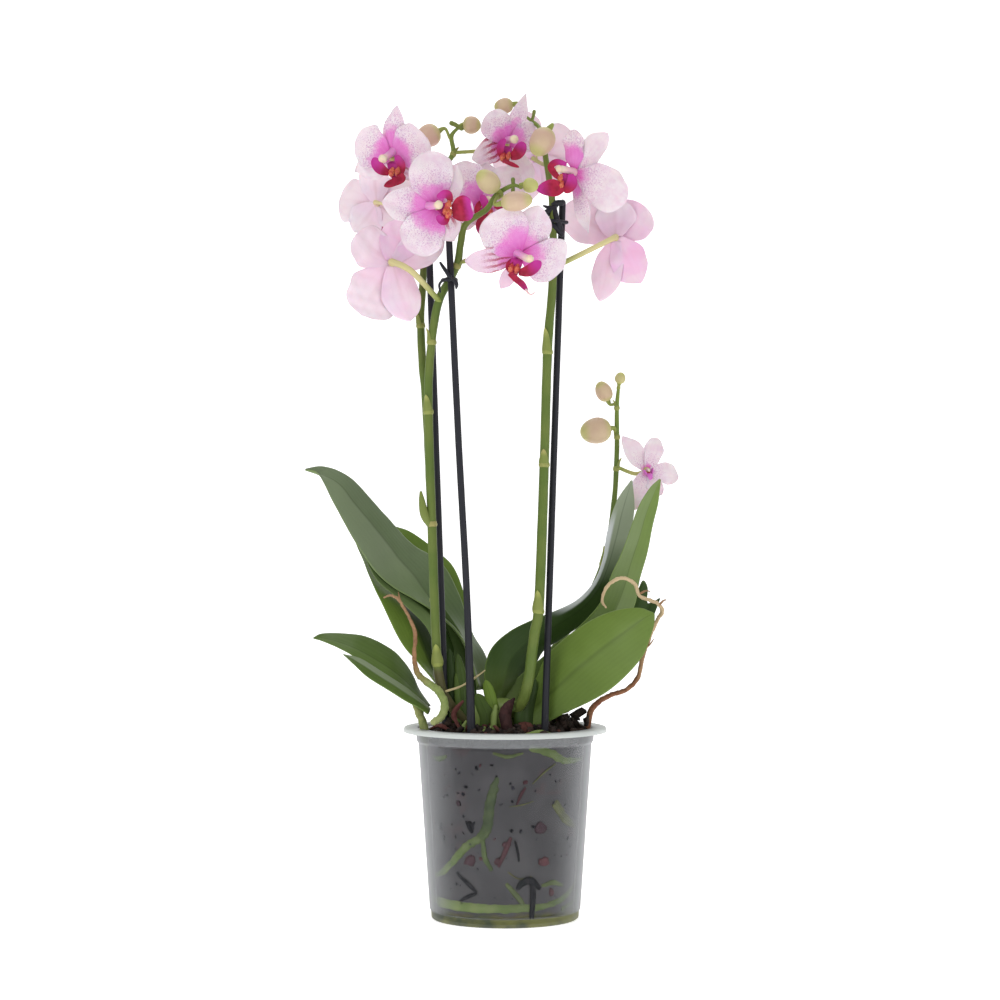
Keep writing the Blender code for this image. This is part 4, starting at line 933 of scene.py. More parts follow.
for seed, (name, (finish, shape, left, right)) in enumerate(LEAVES.items()):
    leaf = leaf_skin(seed=seed, **shape)
    a, share = leaf.marks["place"][:, 0], leaf.marks["place"][:, 1]
    over = eased(a, -0.1, 0.1)[:, None]
    # painted sheen and painted shade for each half of the leaf
    leaf.marks["tint"] = staged(left, share) * (1 - over) + staged(right, share) * over
    if name in PAINTED_SHEEN_EDGES:
        first, last = PAINTED_SHEEN_EDGES[name]
        there = eased(share, first, first + 0.12) * eased(-share, -last, 0.1 - last)
        # a painted silvery sheen along the left edge
        leaf.marks["trim"] = triples(eased(-a, 0.42, 0.62) * there)
    show(name + "_blade", leaf, [finish], [name])


# ---------------------------------------------------------------- crown

CROWN_CENTRE = np.array((-10.0, 0.0, 118.0))


def crown():
    """The crown: an egg lying along X whose radius swells with five low ridges, the petioles and
    old leaf bases folded round it, each a short blade bent to a trough, and short root tips."""
    fall = np.linspace(0.12, math.pi - 0.12, 30)[:, None]
    turn = np.linspace(0, 2 * math.pi, 48, endpoint=False)[None, :]
    ripple = 1 + 0.035 * np.cos(5 * turn) * np.sin(fall)
    ring = np.stack([-np.cos(fall) + 0 * turn, np.sin(fall) * np.cos(turn),
                     np.sin(fall) * np.sin(turn)], axis=-1)
    body = CROWN_CENTRE + ring * ripple[..., None] * (25, 15, 13)
    # the crown's body carries painted shade: darkened as if deep in the shadow of the leaves
    parts = [skin(body + 0.4 * lumps(body, 6.0)[..., None] * ring).tinted(0, 0, 0.9)]
    for k, (path, side, half, tint) in enumerate(SHEATHS):
        parts.append(blade(path, [side], half, "strap", 1.4, 30, 14, cup=-0.35, facing=(0, -1, 0.3),
                           seed=k).tinted(*tint))
    for k, (path, radii, tint) in enumerate(TIPS):
        parts.append(rod(path, radii, 12, 20, rough=0.15, grain=3, seed=k).tinted(*tint))
    return joined(parts)


# Petioles and old leaf bases at the front of the crown: path, the way they spread, half width, and
# (painted grey sheen, gold, painted shade)
SHEATHS = [
    ([(-6, -17, 124), (-8.5, -17.5, 132), (-11.5, -16, 142)], (1, 0, 0.2), 3.2, (0, 0.75, 0)),
    ([(-13, -20, 108), (-10.5, -20, 119), (-13, -18, 127), (-17, -16, 134)], (1, 0, 0.3), 4.4,
     (0, 0.1, 0.1)),
    ([(-30, -13, 115), (-31, -12, 140), (-33, -8, 160)], (1, 0.3, 0), 3.4, (0, 0, 0.85)),
    ([(-24, -14, 113), (-25, -13, 138), (-28, -8, 157)], (1, 0.2, 0), 3.2, (0, 0, 0.35)),
    ([(-27, -16, 112), (-27.5, -15.5, 128), (-29, -12, 146)], (1, 0.2, 0), 1.8, (0, 0.1, 0.15)),
    ([(12, -17, 108), (11, -18, 118), (13, -15, 130), (18, -10, 142)], (1, 0.1, -0.4), 6.0,
     (0, 0, 0.65)),
    ([(20, -15, 110), (20, -15, 120), (21, -12, 130)], (1, 0.1, -0.4), 5.0, (0, 0.2, 0.3)),
    ([(3, -16, 124), (7, -17, 128), (12, -15, 130)], (0, 0.3, 1), 1.8, (0.1, 0.4, 0)),
]
# Short root tips and a pale stump among them: path, radii, tint
TIPS = [
    ([(-24.4, -27, 109), (-24.8, -26, 114), (-23, -25, 118.5)], [1.3, 1.5, 0.7], (0.15, 0.7, 0)),
    ([(-13.5, -29, 109), (-12.8, -28, 112), (-12, -26, 115)], [1.1, 1.3, 0.7], (0, 0.5, 0)),
    ([(-9.5, -27, 112), (-8.5, -26, 115.5)], [1.1, 0.7], (0, 0.9, 0)),
    ([(-6.8, -25, 114), (-6.5, -24, 121), (-5.5, -23, 127)], [1.8, 1.9, 1.2], (0.75, 0.2, 0)),
    ([(12, -33, 110.5), (20, -32, 112), (27, -30, 110.5)], [1.6, 2.2, 1.6], (0.2, 0.6, 0.1)),
]
CROWN = leaf_finish("crown_green", (78, 98, 44), (64, 84, 36), (120, 138, 76))
show("crown_body", crown(), [CROWN], ["plant_crown"])


# ---------------------------------------------------------------- roots

# Free roots: path, radii, and how brown and how pale they are at even steps from base to tip
AERIAL_ROOTS = {
    "root_forked": (
        [(-41.5, -37, 119), (-37.5, -34, 121.5), (-35.5, -30, 126), (-35.8, -27, 131),
         (-39, -27, 136.5), (-44, -28, 140.5), (-50, -29, 145.5), (-52.5, -29, 152),
         (-53, -28, 160), (-52.5, -27, 170), (-57, -25, 181), (-62, -24, 189), (-66.5, -23.5, 192),
         (-71, -23, 191)],
        [2.0, 2.3, 2.4, 2.3, 2.3, 2.2, 1.8, 1.5, 1.2, 1.1, 1.0, 0.9, 0.8, 0.4],
        [0.1, 0.1, 0.15, 0.9, 0.95, 0.9, 0.9], [0.1, 0, 0, 0, 0.1, 0.1, 0.2]),
    "root_stub": (
        [(-44, -15, 101), (-46.5, -17, 109), (-48.3, -18.5, 117), (-51, -19, 124),
         (-53.5, -19, 129)],
        [2.4, 2.7, 2.5, 2.3, 1.3], [0.15, 0.15, 0.3], [0.2, 0, 0, 0, 0]),
    "root_thread": (
        [(-34.4, -26, 136.2), (-26, -25.5, 139), (-19, -24.5, 143), (-12, -21, 148)],
        [0.7, 0.6, 0.6, 0.5], [0.4], [0.45]),
    "root_curled": (
        [(46, 6, 98), (49, 4, 113), (52, 4, 124), (61, 4, 131), (72, 4, 135), (79, 6, 142),
         (82, 8, 154), (86, 6, 166), (90, 0, 176), (93, -6, 182), (90, -9, 187), (85, -10, 189),
         (79, -12, 192), (76, -12, 199), (68, -13, 202), (60, -15, 197), (57, -18, 189),
         (59, -21, 185)],
        [1.9, 1.9, 1.8, 1.5, 1.4, 1.4, 1.3, 1.3, 1.2, 1.2, 1.1, 1.1, 1.1, 1.1, 1.1, 1.0, 0.8, 0.6],
        [1.0, 1.0, 0.85, 0.75, 0.75], [0, 0, 0, 0.3, 0.75, 0.75, 0.5]),
}
# Side shoots of those roots: the root they leave, path, radii
SIDE_ROOTS = [
    ("root_forked", [(-61, -24, 188), (-62, -23.5, 191), (-62.5, -23, 194)], [0.7, 0.5, 0.3]),
    ("root_curled", [(91, -9, 186), (93.5, -9, 188.5), (95, -8, 189)], [0.8, 0.6, 0.3]),
    ("root_curled", [(80, -12, 193), (83, -13, 194.5), (85.5, -12, 194)], [0.7, 0.6, 0.3]),
    ("root_curled", [(84, 7, 160), (86.5, 6, 162), (88.5, 5, 165)], [0.7, 0.5, 0.3]),
]


def root_skin(path, radii, brown=(0,), pale=(0,), rows=90, seed=0, sides=12, veiled=(0,), flat=1.0):
    """A root: a bar with a knobbly skin, brown, pale and veiled as much as the values at even steps
    from base to tip say. Behind the pot's wall it is pressed `flat`."""
    body = rod(path, np.array(radii) * flat, sides, rows, 1 / flat, 0.16 * max(radii) * flat, 3.2,
               seed, outward=flat < 1)
    share = body.marks["place"][:, 1]
    body.marks["tint"] = np.stack([np.interp(share, np.linspace(0, 1, len(steps)), steps)
                                   for steps in (brown, pale, veiled)], axis=1)
    return body


for seed, (name, (path, radii, brown, pale)) in enumerate(AERIAL_ROOTS.items()):
    parts = [root_skin(path, radii, brown, pale, 30 + 9 * len(path), seed)]
    parts += [root_skin(p, r, (0.9,), (0.1,), 24, 40 + k, 8)
              for k, (owner, p, r) in enumerate(SIDE_ROOTS) if owner == name]
    show(name + "_skin", joined(parts), [ROOT], [name])


# ---------------------------------------------------------------- pot

POT_RIM, POT_TOP, POT_FOOT, POT_SHOULDER = 60.2, 113.5, 44.0, 51.4
WALL, FLOOR, STEP = 1.0, 1.8, 5.8
SHOULDER = POT_TOP - 9.5
FOOT_INSIDE = POT_FOOT + 0.7 - WALL
SHOULDER_INSIDE = POT_SHOULDER - WALL

POT_PROFILE = [
    (0, 0), (POT_FOOT - 1.4, 0), (POT_FOOT - 0.3, 0.9), (POT_FOOT, STEP - 0.8),
    (POT_FOOT + 0.7, STEP), (POT_SHOULDER, SHOULDER), (POT_SHOULDER + 1.0, SHOULDER + 1.4),
    (POT_SHOULDER + 1.5, POT_TOP - 2.1),
    (POT_RIM - 1.0, POT_TOP - 2.1), (POT_RIM - 0.8, POT_TOP - 2.8), (POT_RIM, POT_TOP - 2.8),
    (POT_RIM, POT_TOP - 0.8), (POT_RIM - 0.6, POT_TOP), (SHOULDER_INSIDE + 1.6, POT_TOP),
    (SHOULDER_INSIDE + 1.4, POT_TOP - 0.9), (SHOULDER_INSIDE + 0.9, SHOULDER + 1.9),
    (SHOULDER_INSIDE, SHOULDER + 0.6), (FOOT_INSIDE, STEP + 0.4), (FOOT_INSIDE - 0.7, FLOOR + 0.8),
    (FOOT_INSIDE - 1.7, FLOOR), (0, FLOOR),
]


def wall_radius(height):
    """Radius of the inside of the pot's tapered wall at a height."""
    low, high = STEP + 0.4, SHOULDER + 0.6
    return FOOT_INSIDE + (SHOULDER_INSIDE - FOOT_INSIDE) * (height - low) / (high - low)


HOLES, HOLE_RING, HOLE_RADIUS = 6, 30, 3.5


def drained(pot):
    """Cuts the drain holes through the pot's floor."""
    cutters = []
    for k in range(HOLES):
        turn = 2 * math.pi * (k + 0.25) / HOLES
        spot = np.array((HOLE_RING * math.cos(turn), HOLE_RING * math.sin(turn), 0.0))
        plug = rod([spot - UP * 2, spot + UP * 4], [HOLE_RADIUS] * 2, 24, 2, dome=(0, 0))
        cutters.append(placed("plug", mesh_of("plug", plug)))
        step = pot.modifiers.new("hole", "BOOLEAN")
        step.operation, step.solver, step.object = "DIFFERENCE", "EXACT", cutters[-1]
    bpy.context.view_layer.update()
    cut = bpy.data.meshes.new_from_object(pot.evaluated_get(bpy.context.evaluated_depsgraph_get()))
    pot.modifiers.clear()
    pot.data = cut
    for cutter in cutters:
        bpy.data.objects.remove(cutter, do_unlink=True)


def frosted(mesh):
    """Marks on the pot's points: how milky, how stained olive, how white."""
    points = np.zeros(3 * len(mesh.vertices))
    mesh.vertices.foreach_get("co", points)
    points = points.reshape(-1, 3) / MM
    radius, height = np.hypot(points[:, 0], points[:, 1]), points[:, 2]
    lip = eased(radius, POT_SHOULDER + 3.0, POT_RIM - 1.0)
    neck = eased(height, SHOULDER + 0.7, SHOULDER + 1.3)
    milk = np.maximum(0.85 * lip, 0.5 * neck)
    stain = eased(-height, -STEP - 0.6, 1.4 - STEP) * eased(radius, 20.0, POT_FOOT - 3)
    layer = mesh.attributes.get("tint") or mesh.attributes.new("tint", "FLOAT_VECTOR", "POINT")
    marks = triples(np.maximum(milk, 0.92 * stain), stain, lip)
    layer.data.foreach_set("vector", marks.astype(np.float32).ravel())


pot_piece = show("frosted_pot", turned(POT_PROFILE, 160), [POT], ["pot"])
drained(pot_piece)
frosted(pot_piece.data)


# ---------------------------------------------------------------- roots and bark behind the wall

def on_wall(places, depth):
    """Points just inside the wall from (degrees from the front, height) pairs."""
    path = []
    for angle, height in places:
        reach = wall_radius(height) - depth
        turn = math.radians(angle)
        path.append((reach * math.sin(turn), -reach * math.cos(turn), height))
    return path


# Roots that lie against the wall: places, radii, how brown, how veiled at both ends
WALL_ROOTS = {
    "pot_root_long": ([(-5, 88), (-8, 81), (-11, 72), (-13, 60), (-18, 53), (-30, 47), (-44, 37),
                       (-57, 30), (-70, 27.5)],
                      [1.2, 2.6, 3.0, 3.2, 2.7, 2.5, 2.4, 2.0, 1.1], 0.0, (1.0, 0.9, 0.45, 0.5)),
    "pot_root_branch": ([(-16.5, 51), (-15, 41), (-10, 34)], [1.2, 1.6, 1.1], 0.0, (0.7, 0.8)),
    "pot_root_rim": ([(17, 105), (33, 101), (43, 97), (56, 96), (69, 96.5)],
                     [1.8, 2.6, 2.2, 1.6, 0.6], 0.0, (0.6, 0.6)),
    "pot_root_tan": ([(38, 72), (50, 62), (62, 57)], [2.9, 2.8, 1.4], 0.45, (0.75, 0.75)),
    "pot_root_ring": ([(-80, 13), (-55, 12), (-25, 11.5), (5, 11.5), (30, 12), (50, 15), (66, 21),
                       (80, 30)],
                      [2.8, 3.1, 3.0, 2.6, 2.0, 1.8, 1.7, 1.2], 0.0, (0.1, 0.25, 0.6, 0.7)),
    "pot_root_short": ([(29, 24), (39, 25.5), (50, 23)], [1.0, 1.5, 0.9], 0.1, (0.7, 0.7)),
}
# Finer roots beside them, each drawn with the root it crosses
FINE_WALL_ROOTS = {
    "pot_root_ring": [([(1, 26), (8, 19.5), (14, 14)], [1.2, 1.6, 1.2], 0.1),
                      ([(50, 9), (70, 13), (84, 22)], [1.4, 1.5, 0.8], 0.0),
                      ([(-2, 4.6), (18, 5.0), (40, 4.8), (68, 8)], [0.9, 1.2, 1.4, 0.8], 0.55),
                      ([(-70, 4.4), (-40, 4.2), (-10, 4.4)], [1.0, 1.4, 0.8], 0.1)],
    "pot_root_rim": [([(-60, 98), (-52, 97), (-44, 99)], [0.6, 1.6, 0.9], 0.0),
                     ([(-8, 102), (2, 100), (12, 102)], [0.8, 1.1, 0.6], 0.1),
                     ([(36, 95), (27, 90), (19, 84)], [0.5, 0.45, 0.3], 0.4)],
    "pot_root_branch": [([(2, 33), (10, 29), (20, 30)], [0.4, 0.4, 0.3], 0.6),
                        ([(3, 71), (12, 72), (20, 74)], [0.3, 0.35, 0.2], 0.4)],
}
PRESSED_FLAT = 0.35
for seed, (name, (places, radii, brown, veiled)) in enumerate(WALL_ROOTS.items()):
    line = on_wall(places, 0.3 + PRESSED_FLAT * max(radii))
    parts = [root_skin(line, radii, (brown,), (0,), 110, seed, 16, veiled, PRESSED_FLAT)]
    for k, (spots, thin, rust) in enumerate(FINE_WALL_ROOTS.get(name, [])):
        line = on_wall(spots, 0.25 + PRESSED_FLAT * max(thin))
        parts.append(root_skin(line, thin, (rust,), (0,), 50, 9 * seed + k, 12, (0.75,),
                               PRESSED_FLAT))
    show(name + "_skin", joined(parts), [ROOT], [name])


BARK_FOOT = 2.4  # the filling's lowest point
BARK_GAP, CHIP_GAP = 1.0, 0.4  # from the wall's inside to the filling and to the chips on it


def packed_bark():
    """The filling seen through the wall: a body turned round Z just inside the wall, pushed in by
    noise into soft lumps, with a rough top."""
    heights = np.concatenate([[BARK_FOOT, 3.2], np.linspace(STEP, SHOULDER, 70)])
    reach = np.interp(heights, [BARK_FOOT, 3.2, STEP],
                      [FOOT_INSIDE - 2.6, FOOT_INSIDE - 1.2, FOOT_INSIDE - BARK_GAP])
    reach = np.where(heights > STEP + 0.1, wall_radius(heights) - BARK_GAP, reach)
    inner = np.linspace(0.97, 0.03, 22)
    radius = np.concatenate([reach, 49.3 * inner])
    height = np.concatenate([heights, 105.0 + 6.0 * (1 - inner**2)])
    turn = np.linspace(0, 2 * math.pi, 180, endpoint=False)
    way = np.stack([np.cos(turn), np.sin(turn), 0 * turn], axis=-1)
    rings = radius[:, None, None] * way[None] + height[:, None, None] * UP
    soft = 0.25 * (lumps(rings, 16.0, 3) + 0.4 * lumps(rings, 8.0, 4) - 0.9)
    rings[:len(heights)] += (np.minimum(soft, 0)[..., None] * way[None])[:len(heights)]
    rings[len(heights):, :, 2] += 1.2 * lumps(rings[len(heights):], 7.0, 5)
    return skin(rings)


def chips(centres, sizes, seed, tints):
    """Angular chips: each a block of 26 points and 24 faces whose corners are pushed about, turned
    at random, stretched to its size, and pressed flat where it would pass the wall."""
    grid = np.array([(x, y, z) for x in (-1, 0, 1) for y in (-1, 0, 1) for z in (-1, 0, 1)
                     if (x, y, z) != (0, 0, 0)], float)
    number = {tuple(p): k for k, p in enumerate(grid.astype(int))}
    faces = []
    for axis in range(3):
        u, v = (axis + 1) % 3, (axis + 2) % 3
        for end in (-1, 1):
            for i in (-1, 0):
                for j in (-1, 0):
                    corners = []
                    for a, b in ((i, j), (i + 1, j), (i + 1, j + 1), (i, j + 1)):
                        point = [0, 0, 0]
                        point[axis], point[u], point[v] = end, a, b
                        corners.append(number[tuple(point)])
                    faces.append(corners if end > 0 else corners[::-1])
    faces = np.array(faces)
    chance = np.random.default_rng(seed)
    count = len(centres)
    shape = grid * (1 - 0.16 * (np.abs(grid).sum(axis=1, keepdims=True) - 1))
    local = shape[None] + chance.uniform(-0.22, 0.22, (count, len(grid), 3))
    spin = np.linalg.qr(chance.normal(size=(count, 3, 3)))[0]
    spin[np.linalg.det(spin) < 0, :, 0] *= -1
    points = np.einsum("nij,nkj->nki", spin, local * sizes[:, None]) + centres[:, None]
    points = points.reshape(-1, 3)
    reach = np.hypot(points[:, 0], points[:, 1])
    most = np.minimum(wall_radius(np.clip(points[:, 2], 6, SHOULDER)), SHOULDER_INSIDE) - CHIP_GAP
    points[:, :2] *= np.minimum(1, most / reach)[:, None]
    points[:, 2] = np.maximum(points[:, 2], BARK_FOOT + 0.2)
    quads = (faces[None] + len(grid) * np.arange(count)[:, None, None]).reshape(-1, 4)
    return Skin(points, quads, np.zeros((0, 3), int), {"tint": np.repeat(tints, len(grid), axis=0)})


# Small heaps against the plant: middle, spread, how many chips
HEAPS = [((41, 2, 114), (4.0, 3.0, 2.6), 34), ((33, -6, 117), (1.6, 2.0, 3.2), 14),
         ((-30, -18, 113), (4.0, 4.0, 2.4), 30), ((-10, -24, 111), (8.0, 3.0, 1.6), 30),
         ((12, -20, 112), (5.0, 4.0, 2.0), 24)]
chance = np.random.default_rng(5)
count = 420
spots = 49.0 * np.sqrt(chance.uniform(0, 1, count))
turns = chance.uniform(0, 2 * math.pi, count)
heap = 6.5 * (1 - (spots / 50.0) ** 2)
centres = np.stack([spots * np.cos(turns), spots * np.sin(turns),
                    chance.uniform(105.0, 108.6, count) + heap], axis=1)
sizes = np.stack([chance.uniform(2.4, 6.0, count), chance.uniform(1.6, 3.6, count),
                  chance.uniform(0.8, 1.9, count)], axis=1)
for middle, spread, number in HEAPS:
    centres = np.vstack([centres, chance.normal(middle, spread, (number, 3))])
    sizes = np.vstack([sizes, chance.uniform((2.4, 1.4, 0.8), (4.8, 2.6, 1.6), (number, 3))])
count = len(centres)
inner = np.hypot(centres[:, 0], centres[:, 1]) < 36
tints = triples((chance.uniform(0, 1, count) > 0.86) * inner * 0.7,
                chance.uniform(0, 0.5, count) ** 2)
top_chips = chips(centres, sizes, 6, tints).finished(1)
show("bark_filling", joined([packed_bark(), top_chips]), [PACKED, CHIPS], ["bark_substrate"])

# Chips pressed to the wall at the front: (degrees, height, size across, size up, red, light)
PRESSED = [
    (14, 85, 2.6, 1.4, 0.6, 0.3), (26, 58, 7.0, 5.0, 0.35, 0.6), (30, 38, 3.6, 6.5, 1.0, 0.3),
    (-27, 39, 6.0, 5.5, 0.5, 0.7), (1, 49, 2.0, 5.0, 0.6, 0.4), (-5.5, 39, 3.0, 5.0, 0.6, 0.4),
    (38, 20, 4.5, 2.4, 0.8, 0.5), (-25.5, 60, 3.6, 3.0, 0.0, 0.0), (-28.5, 82, 1.0, 2.4, 0.0, 0.0),
    (-20, 93, 2.6, 0.9, 0.0, 0.0), (-9, 95, 1.8, 0.9, 0.0, 0.0), (-6, 88.5, 1.2, 1.0, 0.0, 0.0),
    (-54, 58, 1.2, 3.0, 0.0, 0.0), (-51, 51, 0.9, 2.6, 0.0, 0.0), (5, 74, 1.6, 1.0, 0.0, 0.0),
    (4.5, 57, 1.2, 2.2, 0.0, 0.0), (20.5, 59, 1.4, 2.2, 0.0, 0.0), (-35, 72, 3.0, 2.2, 0.3, 0.5),
]
# Slivers between the pressed chips, drawn as flat bars: places, half widths, how red
SLIVERS = [
    ([(9, 23), (13, 26.4), (18, 27.8), (22, 26.4), (27, 22.5)], [1.2, 2.0, 2.3, 2.0, 1.0], 0.0),
    ([(21, 26), (21.5, 18), (21, 10), (20.5, 3.5)], [1.9, 1.8, 1.7, 1.4], 0.0),
    ([(-38, 30.5), (-30, 26), (-22, 20.5)], [0.7, 1.3, 0.8], 0.0),
    ([(-22, 20.2), (-30, 17.5), (-37, 15)], [0.8, 1.1, 0.6], 0.0),
    ([(-29, 62), (-26, 58), (-24, 55.5)], [0.6, 1.3, 0.9], 0.0),
    ([(-22, 62), (-24, 59), (-25, 56)], [0.5, 0.8, 0.5], 0.0),
    ([(4, 53), (0, 45), (-5, 36)], [0.9, 1.5, 0.8], 0.6),
    ([(7, 51), (9, 45), (10, 39)], [0.6, 0.8, 0.5], 0.0),
    ([(14, 82), (11, 78), (8, 72)], [0.6, 0.9, 0.5], 0.5),
]
angle, height, wide, tall, red, light = np.array(PRESSED).T
scatter = np.random.default_rng(8)
# Crumbs besides: some all round the wall and some close together at the front left
ALL_ROUND, CLOSE = 170, 40
more = ALL_ROUND + CLOSE
angle = np.concatenate([angle, scatter.uniform(-180, 180, ALL_ROUND),
                        scatter.uniform(-64, -30, CLOSE)])
height = np.concatenate([height, scatter.uniform(12, 98, more)])
wide = np.concatenate([wide, scatter.uniform(0.3, 1.35, more) ** 2])
tall = np.concatenate([tall, scatter.uniform(0.3, 1.6, more) ** 2])
red = np.concatenate([red, (scatter.uniform(0, 1, more) > 0.85) * 0.8])
light = np.concatenate([light, scatter.uniform(0.2, 0.9, more)])
centres = np.array(on_wall(list(zip(angle, height)), 0.9))
pressed = chips(centres, np.stack([wide, tall, 0.5 * (wide + tall)], axis=1) * 0.55, 9,
                triples(red, light))
for k, (places, widths, rust) in enumerate(SLIVERS):
    line = on_wall(places, 0.3)
    sliver = rod(line, np.array(widths) / 4, 12, 30, squash=4.0, seed=k, outward=True)
    pressed = joined([pressed, sliver.tinted(rust, 0.2 * rust, 0)])
show("pressed_chips", pressed, [SEEN_CHIPS])


# ---------------------------------------------------------------- loose pieces on the bark

LOOSE_PIECES = {
    "dead_husk": ([(3, -24, 109.7), (1, -23, 116), (0, -21, 122), (2, -20, 127), (5, -19, 131)],
                  [4.6, 5.2, 5.4, 4.4, 1.2], HUSK, (0.1, 0.0, 0)),
    "bark_chip_left": ([(-33, -20, 113), (-38, -18, 115.4), (-43, -14, 113.5)],
                       [1.6, 2.4, 1.3], HUSK, (0.9, 0.3, 0)),
    "bark_chip_red": ([(-24, -27, 109.5), (-28, -25, 117), (-30, -23, 123), (-25, -21, 129.5)],
                      [1.4, 1.6, 2.3, 1.1], HUSK, (0.9, 0.25, 0)),
    "bark_chip_right": ([(31, -26, 108.5), (37, -23, 109.5), (42, -20, 108.5)],
                        [1.5, 2.2, 1.4], CHIPS, (0.2, 0, 0)),
}
for seed, (name, (path, radii, finish, tint)) in enumerate(LOOSE_PIECES.items()):
    piece = rod(path, radii, 14, 24, squash=0.6, rough=0.5, grain=3.5, seed=seed).tinted(*tint)
    show(name + "_piece", piece, [finish], [name])


# ---------------------------------------------------------------- flowers

class Bloom:
    """The setting of one flower: its middle, the way it faces and the way its top sepal points."""

    def __init__(self, centre, face, top):
        self.centre = np.asarray(centre, float)
        self.z = unit(face)
        self.x = unit(np.cross(UP, self.z))
        self.y = np.cross(self.z, self.x)
        turn = math.radians(top)
        self.up = self.x * math.cos(turn) + self.y * math.sin(turn)
        self.side = np.cross(self.up, self.z)

    def ray(self, angle):
        turn = math.radians(angle)
        return self.x * math.cos(turn) + self.y * math.sin(turn)

    def at(self, points, size=1.0):
        """Places (sideways, up towards the top sepal, forward) as points."""
        points = np.asarray(points, float) * size
        return self.centre + points @ np.stack([self.side, self.up, self.z])

    def way(self, direction):
        return np.asarray(direction, float) @ np.stack([self.side, self.up, self.z])


# Petals and sepals: how far in front of the flower's middle they start, ripples along the edge, and
# how far out the pink reaches
TEPALS = {"petal": (0.3, 2.0, 0.52), "sepal": (-0.8, 1.2, 0.42)}


def tepal(bloom, kind, angle, length, half, seed, lift=0.0, reach=None, stripes=0.0, rosy=0.15,
          outline=None):
    """One petal or sepal: a blade whose middle line leaves the flower's centre at an angle, bows
    forward and ends `lift` times its length in front."""
    out = bloom.ray(angle)
    start, waves, usual_reach = TEPALS[kind]
    share = np.array((0.03, 0.35, 0.7, 1.0))[:, None]
    forward = start + length * (lift * share + 0.192 * share * (1 - share))
    line = bloom.centre + out * length * share + bloom.z * forward
    body = blade(line, [np.cross(out, bloom.z)], half, outline or kind, 0.55, 40, 22, wave=1.2,
                 waves=waves, seed=seed, facing=bloom.z, ragged=0.05)
    return body.tinted(usual_reach if reach is None else reach, stripes, rosy)


LIP_COLUMN = [(0, 0, -0.5), (0, 0.5, 2.5), (0, 0.4, 5.5), (0, -0.5, 8.2)]
SIDE_LOBE = np.array([(1.4, -3.0, 1.2), (4.4, -4.6, 3.8), (6.8, -3.2, 7.4), (6.6, 0.6, 10.6)])
TONGUE = [(0, -3.2, 2.0), (0, -6.2, 6.8), (0, -10.5, 8.8), (0, -15.0, 8.0)]


def lip_and_column(bloom, size=1.0, hue=None):
    """The middle of a flower: a short column with its cap, two side lobes standing round it, an
    orange callus between them, and the tongue of the lip. Shapes are (sideways, up, forward)."""
    column = rod(bloom.at(LIP_COLUMN, size), np.array((2.0, 2.5, 2.1, 2.3)) * size, 18, 26,
                 first_side=bloom.side)
    column.marks["tint"] = triples(1 - eased(column.marks["place"][:, 1], 0.45, 0.95))
    tip = np.asarray(LIP_COLUMN[-1], float)
    cap = rod(bloom.at([tip + (0, 0.1, -0.9), tip + (0, -0.5, 0.6), tip + (0, -1.6, 1.5)], size),
              np.array((2.2, 2.3, 1.2)) * size, 18, 14, first_side=bloom.side).tinted(0, 0, 0)
    callus = []
    for x in (-1.2, 1.2):
        lump = rod(bloom.at([(x, -3.8, 3.0), (x * 1.1, -5.0, 5.4), (x * 0.7, -5.0, 6.8)], size),
                   np.array((1.5, 1.4, 0.8)) * size, 12, 12, rough=0.2, grain=2)
        callus.append(lump.tinted(0, 1, 0))
    lip = []
    for hand in (-1, 1):
        mirror = np.array((hand, 1.0, 1.0))
        lobe = blade(bloom.at(SIDE_LOBE * mirror, size), [bloom.way(mirror * (0.27, 0.91, -0.47))],
                     4.3 * size, "lobe", 0.6, 26, 16, cup=0.35, wave=0.25,
                     facing=bloom.way(mirror * (-1, 0.3, 0.1)), seed=2 + hand)
        lip.append(lobe.tinted(*(hue or (0.3, 1.5, 0.0))))
    tongue = blade(bloom.at(TONGUE, size), [bloom.way((1, 0, 0))], 3.8 * size, "lobe", 0.7, 28, 16,
                   fold=0.25, wave=0.2, facing=bloom.way((0, 0.2, 1)))
    lip.append(tongue.tinted(*(hue or (0.5, 1.8, 0.0))))
    return joined([column, cap] + callus + [joined(lip).finished(1)])


def flap(middle, path, half, outline, tint, seed):
    """A lobe or tongue of a lip along offsets from the flower's middle: a blade whose broad side is
    turned to the front."""
    line = middle + np.asarray(path, float)
    lean = np.cross(np.gradient(line, axis=0), (0, -1, 0.15))
    body = blade(line, lean, half, outline, 0.7, 30, 16, cup=0.22, wave=0.2, facing=(0, -1, 0),
                 seed=seed)
    return body.finished(1).tinted(*tint)


